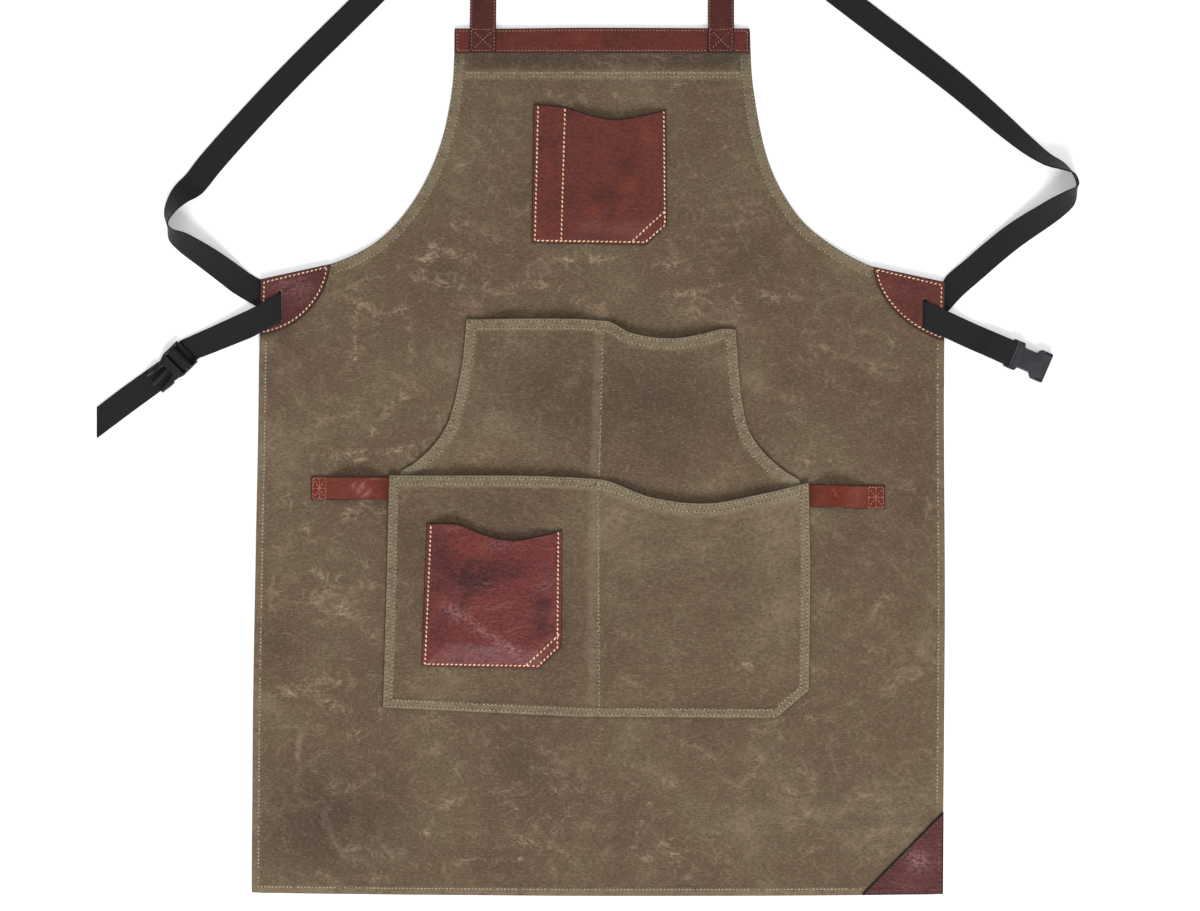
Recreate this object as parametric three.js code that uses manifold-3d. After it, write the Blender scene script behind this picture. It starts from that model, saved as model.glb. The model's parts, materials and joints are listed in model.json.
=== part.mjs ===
// Waxed canvas work apron, laid flat with its front face up. Sizes are millimetres.
// X runs across the apron, Y from the hem up to the bib and Z out of the front face.
// The surface that the apron lies on is Z = 0, and the origin is the middle of the apron's back.

import * as THREE from 'three';
import { mergeVertices } from 'three/addons/utils/BufferGeometryUtils.js';
import Module from 'manifold-3d';

const wasm = await Module();
wasm.setup();

// Stock
const GAP = 0.3;
const CANVAS = 1.2;
const LEATHER = 1.8;
const STRAP_LEATHER = 2.2;
const STRAP_WIDTH = 26;
const WEBBING_WIDTH = 25.4;
const WEBBING_THICK = 1.6;
const HALF_WEBBING = WEBBING_WIDTH / 2;
const FOOT_GAP = 0.2;

// Apron body: the cut edges, from the top of the bib down
const BIB_TOP = 441;
const BIB_FACING = { top: 418.4, bottom: 395.5 };
const UNDERARM_LEFT = { x: -337.3, y: 194 };
const UNDERARM_RIGHT = { x: 342.8, y: 191.2 };
const ARMHOLE_LEFT = [
  { x: -144.8, y: BIB_TOP },
  { x: -147, y: 384 },
  { x: -159.7, y: 325 },
  { x: -184, y: 274 },
  { x: -220, y: 233.3 },
  { x: -268.2, y: 209.1 },
  UNDERARM_LEFT,
];
const ARMHOLE_RIGHT = [
  { x: 149.3, y: BIB_TOP },
  { x: 152.5, y: 384 },
  { x: 166.2, y: 315 },
  { x: 189, y: 268 },
  { x: 219, y: 236.3 },
  { x: 271.6, y: 206.5 },
  UNDERARM_RIGHT,
];
const SIDE_LEFT = [
  UNDERARM_LEFT,
  { x: -340.3, y: 24.4 },
  { x: -344.8, y: -224.4 },
  { x: -346.3, y: -415.4 },
];
const SIDE_RIGHT = [
  UNDERARM_RIGHT,
  { x: 342, y: 74.1 },
  { x: 342.9, y: -144.8 },
  { x: 340.6, y: -417.2 },
];
const HEM_BOW = 2.8;
const HEM_WIDTH = 10;
const HEM_STEP = 1.5;
const HEM_RISE = 0.8;
const ARMHOLE_ROWS = 13;
const SIDE_ROWS = 13;
const INNER_COLUMNS = 10;
const ARC_DIVISIONS = 400;

// The underarm corners lie on the webbing, so they are lifted clear of it
const CORNER_LIFT = WEBBING_THICK + 2 * GAP;
const LIFT_FULL = 84;
const LIFT_END = 150;

// Leather patches
const PATCH_BASE = CORNER_LIFT + CANVAS + GAP;
const SIDE_PATCH_LEFT = {
  corner: UNDERARM_LEFT,
  top: { x: -268.2, y: 209.1 },
  upper: { x: -270, y: 176 },
  lower: { x: -298, y: 143 },
  foot: { x: -337.8, y: 138.4 },
};
const SIDE_PATCH_RIGHT = {
  corner: UNDERARM_RIGHT,
  top: { x: 271.6, y: 206.5 },
  upper: { x: 273, y: 178 },
  lower: { x: 300, y: 145 },
  foot: { x: 341.5, y: 132.5 },
};
const PATCH_CURVE_STEPS = 14;
const CORNER_PATCH = [
  { x: 341.5, y: -335.3 },
  { x: 260.2, y: -418 },
  { x: 340.6, y: -416.9 },
];
// The hem stays flat this far from the corner that a patch covers
const SIDE_PATCH_REACH = 100;
const CORNER_PATCH_REACH = 114;

// Top band and shoulder straps
const BAND = { left: -144.5, right: 148.8, bottom: 419, top: 443.8 };
const STRAP_FOOT = 419.5;
const STRAP_END = 670;
const STRAP_STEPS = 26;
const STRAP_LEFT = { foot: -116.3, top: -115.4 };
const STRAP_RIGHT = { foot: 120, top: 121.6 };
const STRAP_HEIGHTS = [
  { y: STRAP_FOOT, z: CANVAS + LEATHER + 2 * GAP },
  { y: 447, z: CANVAS + LEATHER + 2 * GAP },
  { y: 478, z: 0 },
  { y: 505, z: 0 },
  { y: 532, z: WEBBING_THICK + GAP },
  { y: STRAP_END, z: WEBBING_THICK + GAP },
];

// Pockets: edges as short tables, compartments as stretches between seams
const POCKET_RISE = 4.6;
const POCKET_RAMP = 26;
const POCKET_SEAM = 4;
const CHEST = {
  top: [
    { x: -65.1, y: 368.6 },
    { x: -33.2, y: 364.7 },
    { x: -12, y: 357.5 },
    { x: 13.9, y: 352.7 },
    { x: 40, y: 356 },
    { x: 65.2, y: 362.7 },
  ],
  bottom: [
    { x: -67.2, y: 231 },
    { x: 45.6, y: 228.4 },
    { x: 66.1, y: 248.9 },
  ],
  left: [{ y: 231, x: -67.2 }, { y: 368.6, x: -65.1 }],
  right: [{ y: 228.4, x: 66.1 }, { y: 362.7, x: 65.2 }],
  compartments: [
    { from: -63, to: -37, rise: 0.9, ramp: 12 },
    { from: -36, to: 63, rise: POCKET_RISE, ramp: 20 },
  ],
  columns: 18,
  rows: 10,
};
const UPPER = {
  top: [
    { x: -133, y: 154.9 },
    { x: 6, y: 153.2 },
    { x: 30.8, y: 141.1 },
    { x: 69.7, y: 135.6 },
    { x: 101.5, y: 140.1 },
    { x: 120.4, y: 145.2 },
    { x: 135.1, y: 144.8 },
  ],
  bottom: [{ x: -195, y: -30 }, { x: 195, y: -34 }],
  left: [
    { y: -30, x: -190 },
    { y: 1, x: -199.5 },
    { y: 11.4, x: -185.1 },
    { y: 28.4, x: -166.5 },
    { y: 52.2, x: -151.2 },
    { y: 105, x: -138.3 },
    { y: 154.9, x: -133 },
  ],
  right: [
    { y: -34, x: 190 },
    { y: -7.5, x: 200 },
    { y: 4.1, x: 183.1 },
    { y: 22.4, x: 162.9 },
    { y: 43.7, x: 148.7 },
    { y: 76.1, x: 141.3 },
    { y: 144.8, x: 135.1 },
  ],
  divider: 1.5,
  seam: 11,
  foot: 10,
  columns: 22,
  rows: 14,
};
const LOWER_RISE = 5.8;
const LOWER = {
  top: [
    { x: -209.5, y: 0 },
    { x: -2, y: -4 },
    { x: 50.7, y: -21.9 },
    { x: 106, y: -28.1 },
    { x: 159.2, y: -18.9 },
    { x: 207.6, y: -7.5 },
  ],
  bottom: [
    { x: -216.2, y: -232.1 },
    { x: -19.9, y: -241.3 },
    { x: 175.1, y: -242.3 },
    { x: 208, y: -214.8 },
  ],
  left: [{ y: -232.1, x: -216.2 }, { y: 0, x: -209.5 }],
  right: [
    { y: -242.3, x: 207.6 },
    { y: -97, x: 209.5 },
    { y: -7.5, x: 207.6 },
  ],
  divider: -1.5,
  seam: 8.5,
  ramp: 40,
  foot: 60,
  columns: 26,
  rows: 14,
};
// The lower pocket's sides pass over the loops' inner ends near its mouth
const RIM_STEP = { rise: 2.4, from: -82, to: -52 };
const PATCH = {
  top: [
    { x: -171.1, y: -48.1 },
    { x: -140.8, y: -48.9 },
    { x: -115, y: -59 },
    { x: -87.6, y: -64.6 },
    { x: -60, y: -60.5 },
    { x: -37.8, y: -54.9 },
  ],
  bottom: [
    { x: -176.6, y: -189.3 },
    { x: -61.9, y: -192.9 },
    { x: -38.6, y: -171.6 },
  ],
  left: [{ y: -189.3, x: -176.6 }, { y: -48.1, x: -171.1 }],
  right: [{ y: -192.9, x: -38.6 }, { y: -54.9, x: -37.8 }],
  compartments: [{ from: -172.5, to: -41, rise: POCKET_RISE, ramp: 24 }],
  columns: 16,
  rows: 10,
};

// Tool loops
const LOOP_BOW = 8;
const LOOP_BOW_POWER = 1.4;
const LOOP_STEPS = 18;
const LOOP_LEFT = { inner: -203, start: -211, sewn: -271, outer: -286.8, mid: -13.7, tilt: 0 };
const LOOP_RIGHT = { inner: 203.5, start: 209, sewn: 265.5, outer: 283.1, mid: -20.9, tilt: -1.6 };
const LOOP_WIDTH = 23;
const LOOP_THICK = 2;

// Side slots: the webbing comes up through the slot and folds back over its outer lip
const SLOT_LEFT = { x: -319.9, y: 169.5, heading: { x: 0.876, y: -0.482 } };
const SLOT_RIGHT = { x: 324.1, y: 161.7, heading: { x: -0.911, y: -0.411 } };
const SLOT_WIDTH = 4.2;
const FOLD_MIDDLE = CORNER_LIFT + (CANVAS + GAP + LEATHER) / 2;
const FOLD_RADIUS = (CANVAS + GAP + LEATHER) / 2 + GAP + WEBBING_THICK / 2;
const FOLD_LEAD = 13;
const FOLD_RUN = 26;
const BEND_STEPS = 8;
const CUT_HEIGHTS = [-1, 20];

// Webbing on the lying surface, from the shoulder strap to the slot: roll 90 stands it on edge
const WEBBING_LEFT_ROWS = [
  { x: 121.6, y: 636, roll: 0, lift: 0 },
  { x: 121.6, y: 740, roll: 0, lift: 0 },
  { x: 121.2, y: 778, roll: 35, lift: 0 },
  { x: 116, y: 802, roll: 75, lift: 0 },
  { x: 105, y: 810, roll: 85, lift: 0 },
  { x: 90, y: 803, roll: 65, lift: 0 },
  { x: 62, y: 779, roll: 25, lift: 0 },
  { x: 34.3, y: 741.3, roll: 0, lift: 0 },
  { x: -27.8, y: 659.1, roll: 0, lift: 0 },
  { x: -113, y: 581.8, roll: 0, lift: 0 },
  { x: -171.6, y: 532, roll: 0, lift: 0 },
  { x: -231.8, y: 472, roll: 0, lift: 0 },
  { x: -316, y: 388, roll: 0, lift: 0 },
  { x: -387, y: 310, roll: 0, lift: 0 },
  { x: -404, y: 288.5, roll: 5, lift: 0 },
  { x: -414.5, y: 279.5, roll: 26, lift: 0 },
  { x: -423, y: 268.5, roll: 46, lift: 0 },
  { x: -427.6, y: 258, roll: 62, lift: 0 },
  { x: -428, y: 246.5, roll: 82, lift: 0 },
  { x: -423.5, y: 237, roll: 60, lift: 0 },
  { x: -413, y: 230, roll: 40, lift: 0 },
  { x: -388, y: 213.5, roll: 20, lift: 0 },
  { x: -356, y: 190, roll: 0, lift: 0.1 },
];
const WEBBING_RIGHT_ROWS = [
  { x: -115.4, y: 636, roll: 0, lift: 0 },
  { x: -115.4, y: 690, roll: 0, lift: 0 },
  { x: -115, y: 718, roll: 35, lift: 0 },
  { x: -110, y: 739, roll: 75, lift: 0 },
  { x: -100, y: 746, roll: 85, lift: 0 },
  { x: -86, y: 738, roll: 65, lift: 0.6 },
  { x: -64, y: 717, roll: 22, lift: 2 },
  { x: -29, y: 687, roll: 0, lift: 2.1 },
  { x: 12, y: 653, roll: 0, lift: 2 },
  { x: 60, y: 615, roll: 0, lift: 0 },
  { x: 121.6, y: 567.6, roll: 0, lift: 0 },
  { x: 244.8, y: 472, roll: 0, lift: 0 },
  { x: 351, y: 390, roll: 12, lift: 0 },
  { x: 398, y: 349, roll: 25, lift: 0 },
  { x: 424, y: 326.5, roll: 38, lift: 0 },
  { x: 443.5, y: 312.5, roll: 52, lift: 0 },
  { x: 459, y: 305.5, roll: 66, lift: 0 },
  { x: 469.5, y: 297.5, roll: 82, lift: 0 },
  { x: 473, y: 286.5, roll: 84, lift: 0 },
  { x: 466, y: 274.5, roll: 50, lift: 0 },
  { x: 452, y: 264, roll: 30, lift: 0 },
  { x: 409, y: 235.5, roll: 6, lift: 0 },
  { x: 352, y: 187, roll: 0, lift: 0.15 },
];
const STATIONS_PER_ROW = 3;

// Plug half of the buckle: X runs from its rear bar to its prongs
const PLUG_PLACE = { x: -410, y: 122.5, heading: { x: -0.71, y: -0.704 } };
const PLUG = { frame: 20, halfFrame: 14.6, halfWindow: 13.05, base: 2.1, top: 6.6 };
const REAR_BAR = { from: 0, to: 3.4, low: 2.4, high: 6.2 };
const LADDER_BAR = { middle: 10.6, height: 3.1, radius: 1.25 };
const BAR_SIDES = 12;
// One half of the plug's outline: cross plate, barbed prong, gap and centre guide
const PLUG_HALF_OUTLINE = [
  { x: 18, y: 14.6 },
  { x: 20, y: 14.6 },
  { x: 26.5, y: 12.2 },
  { x: 30.5, y: 11.2 },
  { x: 30.5, y: 13.4 },
  { x: 36.5, y: 13.4 },
  { x: 47, y: 12 },
  { x: 46, y: 9.2 },
  { x: 30.5, y: 7.2 },
  { x: 26.5, y: 6.2 },
  { x: 26.5, y: 2.4 },
  { x: 48, y: 1.8 },
];
const PLUG_THREAD = [
  { x: -2.5, z: 1.15 },
  { x: 3.6, z: 1.15 },
  { x: 5.6, z: 2.6 },
  { x: 7.4, z: 4.7 },
  { x: 9, z: 5.45 },
  { x: 10.6, z: 5.55 },
  { x: 12.2, z: 5.45 },
  { x: 13.8, z: 4.7 },
  { x: 15.6, z: 2.6 },
  { x: 17.6, z: 1.1 },
  { x: 24, z: 0.95 },
];
const TAIL_END = { x: -500, y: 51.5, upper: { x: -500.5, y: 67.2 }, lower: { x: -500.5, y: 35.9 } };
const TAIL_BEND = { x: -468, y: 76 };

// Socket half: X runs from its rear bar to its mouth
const SOCKET_PLACE = { x: 406.2, y: 121.4, heading: { x: 0.918, y: -0.396 } };
const SOCKET = { length: 41.5, height: 8, halfBlock: 14.6 };
// One half of the socket's outline: rear block, waisted neck and wide head
const SOCKET_HALF_OUTLINE = [
  { x: 0, y: SOCKET.halfBlock },
  { x: 11.5, y: SOCKET.halfBlock },
  { x: 13, y: 10.4 },
  { x: 26, y: 10.4 },
  { x: 29, y: 15.2 },
  { x: SOCKET.length, y: 15.2 },
];
const SOCKET_WINDOW = { to: 6.5, half: 13.05 };
const SOCKET_BAR = { middle: 2.5, radius: 1.4 };
const SOCKET_MOUTH = { from: 14, half: 12.4, low: 1.7, high: 6.3 };
const SOCKET_LEAD = -22;
const LOOP_RETURN = [
  { x: -4, z: 1.7 },
  { x: -9, z: 3.2 },
  { x: -13, z: 4.4 },
  { x: -21, z: 4.5 },
];

const canvas = new THREE.MeshStandardMaterial({ color: 0x685b49, roughness: 0.75, metalness: 0 });
const leather = new THREE.MeshStandardMaterial({ color: 0x6b332d, roughness: 0.5, metalness: 0 });
const webbing = new THREE.MeshStandardMaterial({ color: 0x232228, roughness: 0.8, metalness: 0 });
const plastic = new THREE.MeshStandardMaterial({ color: 0x242427, roughness: 0.4, metalness: 0 });

const lerp = THREE.MathUtils.lerp;
const smoothstep = THREE.MathUtils.smoothstep;

// Joins the rows of a table with straight lines: column `to` as a function of column `from`.
function linear(rows, from, to) {
  const sorted = [...rows].sort((p, q) => p[from] - q[from]);
  return (value) => {
    let k = 1;
    while (k < sorted.length - 1 && value > sorted[k][from]) k += 1;
    const [p, q] = [sorted[k - 1], sorted[k]];
    const t = THREE.MathUtils.clamp((value - p[from]) / (q[from] - p[from]), 0, 1);
    return lerp(p[to], q[to], t);
  };
}

// The same with eased joints: each stretch starts and ends with the chord slope of its neighbours.
function eased(rows, from, to) {
  const sorted = [...rows].sort((p, q) => p[from] - q[from]);
  const slope = (k) => {
    const before = sorted[Math.max(k - 1, 0)];
    const after = sorted[Math.min(k + 1, sorted.length - 1)];
    return (after[to] - before[to]) / (after[from] - before[from]);
  };
  return (value) => {
    let k = 1;
    while (k < sorted.length - 1 && value > sorted[k][from]) k += 1;
    const [p, q] = [sorted[k - 1], sorted[k]];
    const span = q[from] - p[from];
    const t = THREE.MathUtils.clamp((value - p[from]) / span, 0, 1);
    const start = p[to] * (1 + 2 * t) * (1 - t) ** 2 + span * slope(k - 1) * t * (1 - t) ** 2;
    const end = q[to] * t * t * (3 - 2 * t) - span * slope(k) * t * t * (1 - t);
    return start + end;
  };
}

// A closed indexed surface, turned so that its faces point out.
function closedSurface(positions, triangles) {
  let volume = 0;
  const corner = (k) => new THREE.Vector3().fromArray(positions, 3 * k);
  for (const [a, b, c] of triangles) {
    volume += corner(a).dot(corner(b).cross(corner(c)));
  }
  const outward = volume > 0 ? triangles : triangles.map(([a, b, c]) => [a, c, b]);
  const geometry = new THREE.BufferGeometry();
  geometry.setAttribute('position', new THREE.Float32BufferAttribute(positions, 3));
  geometry.setIndex(outward.flat());
  return geometry;
}

function quad(a, b, c, d) {
  return [[a, b, c], [a, c, d]];
}

// A wall over a grid: at(i, j) gives x, y and the heights of its back and its front.
function wall(columns, rows, at) {
  const front = [];
  const back = [];
  for (let j = 0; j <= rows; j += 1) {
    for (let i = 0; i <= columns; i += 1) {
      const p = at(i, j);
      front.push(p.x, p.y, p.high);
      back.push(p.x, p.y, p.low);
    }
  }
  const wide = columns + 1;
  const layer = wide * (rows + 1);
  const index = (i, j) => j * wide + i;
  const triangles = [];
  for (let j = 0; j < rows; j += 1) {
    for (let i = 0; i < columns; i += 1) {
      const ring = [index(i, j), index(i + 1, j), index(i + 1, j + 1), index(i, j + 1)];
      triangles.push(...quad(...ring));
      triangles.push(...quad(...ring.map((k) => k + layer).reverse()));
    }
  }
  const border = [];
  for (let i = 0; i < columns; i += 1) border.push(index(i, 0));
  for (let j = 0; j < rows; j += 1) border.push(index(columns, j));
  for (let i = columns; i > 0; i -= 1) border.push(index(i, rows));
  for (let j = rows; j > 0; j -= 1) border.push(index(0, j));
  border.forEach((a, k) => {
    const b = border[(k + 1) % border.length];
    triangles.push(...quad(b, a, a + layer, b + layer));
  });
  return closedSurface([...front, ...back], triangles);
}

// A band through stations, each with its two edge points a and b on the band's middle surface.
function ribbon(stations, thick) {
  const positions = [];
  const last = stations.length - 1;
  stations.forEach((station, k) => {
    const before = stations[Math.max(k - 1, 0)];
    const after = stations[Math.min(k + 1, last)];
    const along = after.a.clone().add(after.b).sub(before.a).sub(before.b);
    const across = station.a.clone().sub(station.b);
    const half = across.cross(along).normalize().multiplyScalar(thick / 2);
    for (const [point, sign] of [[station.a, 1], [station.b, 1], [station.b, -1], [station.a, -1]]) {
      positions.push(...point.clone().addScaledVector(half, sign).toArray());
    }
  });
  const triangles = [];
  for (let k = 0; k < last; k += 1) {
    for (let side = 0; side < 4; side += 1) {
      const next = (side + 1) % 4;
      triangles.push(...quad(4 * k + side, 4 * k + next, 4 * k + 4 + next, 4 * k + 4 + side));
    }
  }
  triangles.push(...quad(3, 2, 1, 0));
  triangles.push(...quad(4 * last, 4 * last + 1, 4 * last + 2, 4 * last + 3));
  return closedSurface(positions, triangles);
}

function solid(geometry) {
  const bare = geometry.clone();
  bare.deleteAttribute('normal');
  bare.deleteAttribute('uv');
  const merged = mergeVertices(bare, 1e-4);
  const vertProperties = Float32Array.from(merged.attributes.position.array);
  const triVerts = Uint32Array.from(merged.index.array);
  return new wasm.Manifold(new wasm.Mesh({ numProp: 3, vertProperties, triVerts }));
}

function geometryOf(manifold) {
  const mesh = manifold.getMesh();
  const geometry = new THREE.BufferGeometry();
  geometry.setAttribute('position', new THREE.Float32BufferAttribute(mesh.vertProperties, 3));
  geometry.setIndex(Array.from(mesh.triVerts));
  return geometry;
}

function box(xRange, yRange, zRange) {
  const size = [xRange, yRange, zRange].map(([low, high]) => high - low);
  const middle = [xRange, yRange, zRange].map(([low, high]) => (low + high) / 2);
  return new THREE.BoxGeometry(...size).translate(...middle);
}

function extruded(points, low, high) {
  const shape = new THREE.Shape(points.map((p) => new THREE.Vector2(p.x, p.y)));
  const depth = high - low;
  return new THREE.ExtrudeGeometry(shape, { depth, bevelEnabled: false }).translate(0, 0, low);
}

// Apron body

// The webbing slot: its lip towards the apron's edge is the line that the webbing folds over.
function slotBox(slot) {
  const inward = Math.sign(slot.heading.x);
  const slope = Math.abs(slot.heading.y / slot.heading.x);
  const half = HALF_WEBBING / Math.abs(slot.heading.x) + 2 * GAP;
  const drift = Math.PI * FOLD_RADIUS * slope;
  const xs = [slot.x, slot.x + inward * SLOT_WIDTH].sort((p, q) => p - q);
  return box(xs, [slot.y - drift - half, slot.y + half], CUT_HEIGHTS);
}

function cornerDistance(x, y) {
  const left = Math.hypot(x - UNDERARM_LEFT.x, y - UNDERARM_LEFT.y);
  const right = Math.hypot(x - UNDERARM_RIGHT.x, y - UNDERARM_RIGHT.y);
  return Math.min(left, right);
}

function cornerLift(x, y) {
  return CORNER_LIFT * (1 - smoothstep(cornerDistance(x, y), LIFT_FULL, LIFT_END));
}

// Leather lies flat on the canvas, so the hem isn't raised near a patch or under the band.
function leatherCovers(x, y) {
  const hemCorner = SIDE_RIGHT.at(-1);
  const nearHemCorner = Math.hypot(x - hemCorner.x, y - hemCorner.y) < CORNER_PATCH_REACH;
  const underBand = y > BIB_FACING.top - HEM_STEP / 2;
  return nearHemCorner || underBand || cornerDistance(x, y) < SIDE_PATCH_REACH;
}

// Points of an edge at the given distances along it, with the direction into the cloth.
function edgePoints(rows, inward, distances) {
  const curve = new THREE.SplineCurve(rows.map((p) => new THREE.Vector2(p.x, p.y)));
  curve.arcLengthDivisions = ARC_DIVISIONS;
  const length = curve.getLength();
  return distances(length).map((distance) => {
    const point = curve.getPointAt(distance / length);
    const tangent = curve.getTangentAt(distance / length);
    return { point, inward: new THREE.Vector2(tangent.y, -tangent.x).multiplyScalar(inward) };
  });
}

function armholeDistances(length) {
  const facing = [BIB_FACING.top, BIB_FACING.bottom].map((y) => BIB_TOP - y);
  const start = [0, facing[0], facing[0] + HEM_STEP, facing[1], facing[1] + HEM_STEP];
  const rest = length - start.at(-1);
  const step = rest / ARMHOLE_ROWS;
  const even = Array.from({ length: ARMHOLE_ROWS }, (_, k) => start.at(-1) + step * (k + 1));
  return [...start, ...even];
}

function sideDistances(length) {
  const rest = length - HEM_WIDTH - HEM_STEP;
  const even = Array.from({ length: SIDE_ROWS }, (_, k) => (rest * (k + 1)) / SIDE_ROWS);
  return [...even, length - HEM_WIDTH, length];
}

function apronBody() {
  const left = [
    ...edgePoints(ARMHOLE_LEFT, -1, armholeDistances),
    ...edgePoints(SIDE_LEFT, -1, sideDistances),
  ];
  const right = [
    ...edgePoints(ARMHOLE_RIGHT, 1, armholeDistances),
    ...edgePoints(SIDE_RIGHT, 1, sideDistances),
  ];
  const hemColumns = [0, HEM_WIDTH, HEM_WIDTH + HEM_STEP];
  const columns = 2 * hemColumns.length + INNER_COLUMNS - 1;
  const rows = left.length - 1;
  const facingRows = [2, 3];
  const at = (i, j) => {
    const reach = (edge, k) => edge[j].point.clone().addScaledVector(edge[j].inward, hemColumns[k]);
    const inner = hemColumns.length - 1;
    let point;
    if (i <= inner) point = reach(left, i);
    else if (i >= columns - inner) point = reach(right, columns - i);
    else point = reach(left, inner).lerp(reach(right, inner), (i - inner) / (columns - 2 * inner));
    if (j > rows - 3) point.y -= HEM_BOW * Math.sin((Math.PI * i) / columns);
    const hem = i < inner || i > columns - inner || j > rows - 2 || facingRows.includes(j);
    const rise = hem && !leatherCovers(point.x, point.y) ? HEM_RISE : 0;
    const low = cornerLift(point.x, point.y);
    return { x: point.x, y: point.y, low, high: low + CANVAS + rise };
  };
  const sheet = solid(wall(columns, rows, at));
  return geometryOf(sheet.subtract(solid(slotBox(SLOT_LEFT))).subtract(solid(slotBox(SLOT_RIGHT))));
}

// Leather patches

function sidePatch(outline, slot) {
  const shape = new THREE.Shape();
  const { corner, top, upper, lower, foot } = outline;
  shape.moveTo(corner.x, corner.y);
  shape.lineTo(top.x, top.y);
  shape.bezierCurveTo(upper.x, upper.y, lower.x, lower.y, foot.x, foot.y);
  shape.closePath();
  const settings = { depth: LEATHER, bevelEnabled: false, curveSegments: PATCH_CURVE_STEPS };
  const plate = new THREE.ExtrudeGeometry(shape, settings).translate(0, 0, PATCH_BASE);
  return geometryOf(solid(plate).subtract(solid(slotBox(slot))));
}

function cornerPatch() {
  const low = CANVAS + GAP;
  return extruded(CORNER_PATCH, low, low + LEATHER);
}

function topBand() {
  const low = CANVAS + GAP;
  return box([BAND.left, BAND.right], [BAND.bottom, BAND.top], [low, low + LEATHER]);
}

function shoulderStrap(strap) {
  const height = eased(STRAP_HEIGHTS, 'y', 'z');
  const stations = Array.from({ length: STRAP_STEPS + 1 }, (_, k) => {
    const y = lerp(STRAP_FOOT, STRAP_END, k / STRAP_STEPS);
    const x = lerp(strap.foot, strap.top, k / STRAP_STEPS);
    const z = Math.max(height(y), 0) + STRAP_LEATHER / 2;
    const half = STRAP_WIDTH / 2;
    return { a: new THREE.Vector3(x - half, y, z), b: new THREE.Vector3(x + half, y, z) };
  });
  return ribbon(stations, STRAP_LEATHER);
}

// Pockets

// Zero outside a compartment, one over its middle, with a smooth ramp inside each seam.
function plateau(x, from, to, ramp) {
  return smoothstep(x, from, from + ramp) * smoothstep(to - x, 0, ramp);
}

function pocketEdges(pocket) {
  return {
    top: eased(pocket.top, 'x', 'y'),
    bottom: linear(pocket.bottom, 'x', 'y'),
    left: eased(pocket.left, 'y', 'x'),
    right: eased(pocket.right, 'y', 'x'),
  };
}

const chestEdges = pocketEdges(CHEST);
const upperEdges = pocketEdges(UPPER);
const lowerEdges = pocketEdges(LOWER);
const patchEdges = pocketEdges(PATCH);

function compartmentsRise(pocket, edges, x, y) {
  const open = smoothstep(y - edges.bottom(x), POCKET_SEAM, POCKET_RAMP);
  const rises = pocket.compartments.map((c) => c.rise * plateau(x, c.from, c.to, c.ramp));
  return open * Math.max(...rises);
}

function chestBack(x, y) {
  return CANVAS + GAP + compartmentsRise(CHEST, chestEdges, x, y);
}

function upperBack(x, y) {
  const open = smoothstep(y, UPPER.foot, UPPER.foot + 2 * POCKET_RAMP);
  const from = upperEdges.left(y) + UPPER.seam;
  const to = upperEdges.right(y) - UPPER.seam;
  const both = plateau(x, from, UPPER.divider, POCKET_RAMP) + plateau(x, UPPER.divider, to, POCKET_RAMP);
  return CANVAS + GAP + POCKET_RISE * open * both;
}

function lowerBack(x, y) {
  const open = smoothstep(y - lowerEdges.bottom(x), LOWER.seam, LOWER.foot);
  const from = lowerEdges.left(y) + LOWER.seam;
  const to = lowerEdges.right(y) - LOWER.seam;
  const both = plateau(x, from, LOWER.divider, LOWER.ramp) + plateau(x, LOWER.divider, to, LOWER.ramp);
  const rim = RIM_STEP.rise * smoothstep(y, RIM_STEP.from, RIM_STEP.to);
  return CANVAS + GAP + lerp(rim, LOWER_RISE, open * both);
}

function patchBack(x, y) {
  return lowerBack(x, y) + CANVAS + GAP + compartmentsRise(PATCH, patchEdges, x, y);
}

function pocketPanel(pocket, edges, back, thick) {
  const { columns, rows } = pocket;
  const across = (edge, u) => lerp(edge[0].x, edge.at(-1).x, u);
  const at = (i, j) => {
    const u = i / columns;
    const foot = edges.bottom(across(pocket.bottom, u));
    const mouth = edges.top(across(pocket.top, u));
    const y = lerp(foot, mouth, j / rows);
    const x = lerp(edges.left(y), edges.right(y), u);
    const low = back(x, y);
    return { x, y, low, high: low + thick };
  };
  return wall(columns, rows, at);
}

// Tool loops: flat at both sewn ends and bowed between them
function toolLoop(loop) {
  const low = CANVAS + GAP + LOOP_THICK / 2;
  const stations = Array.from({ length: LOOP_STEPS + 1 }, (_, k) => {
    const x = lerp(loop.inner, loop.outer, k / LOOP_STEPS);
    const t = THREE.MathUtils.clamp((x - loop.start) / (loop.sewn - loop.start), 0, 1);
    const z = low + LOOP_BOW * Math.sin(Math.PI * t) ** LOOP_BOW_POWER;
    const y = loop.mid + loop.tilt * t;
    const half = LOOP_WIDTH / 2;
    return { a: new THREE.Vector3(x, y + half, z), b: new THREE.Vector3(x, y - half, z) };
  });
  return ribbon(stations, LOOP_THICK);
}

// Webbing

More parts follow.
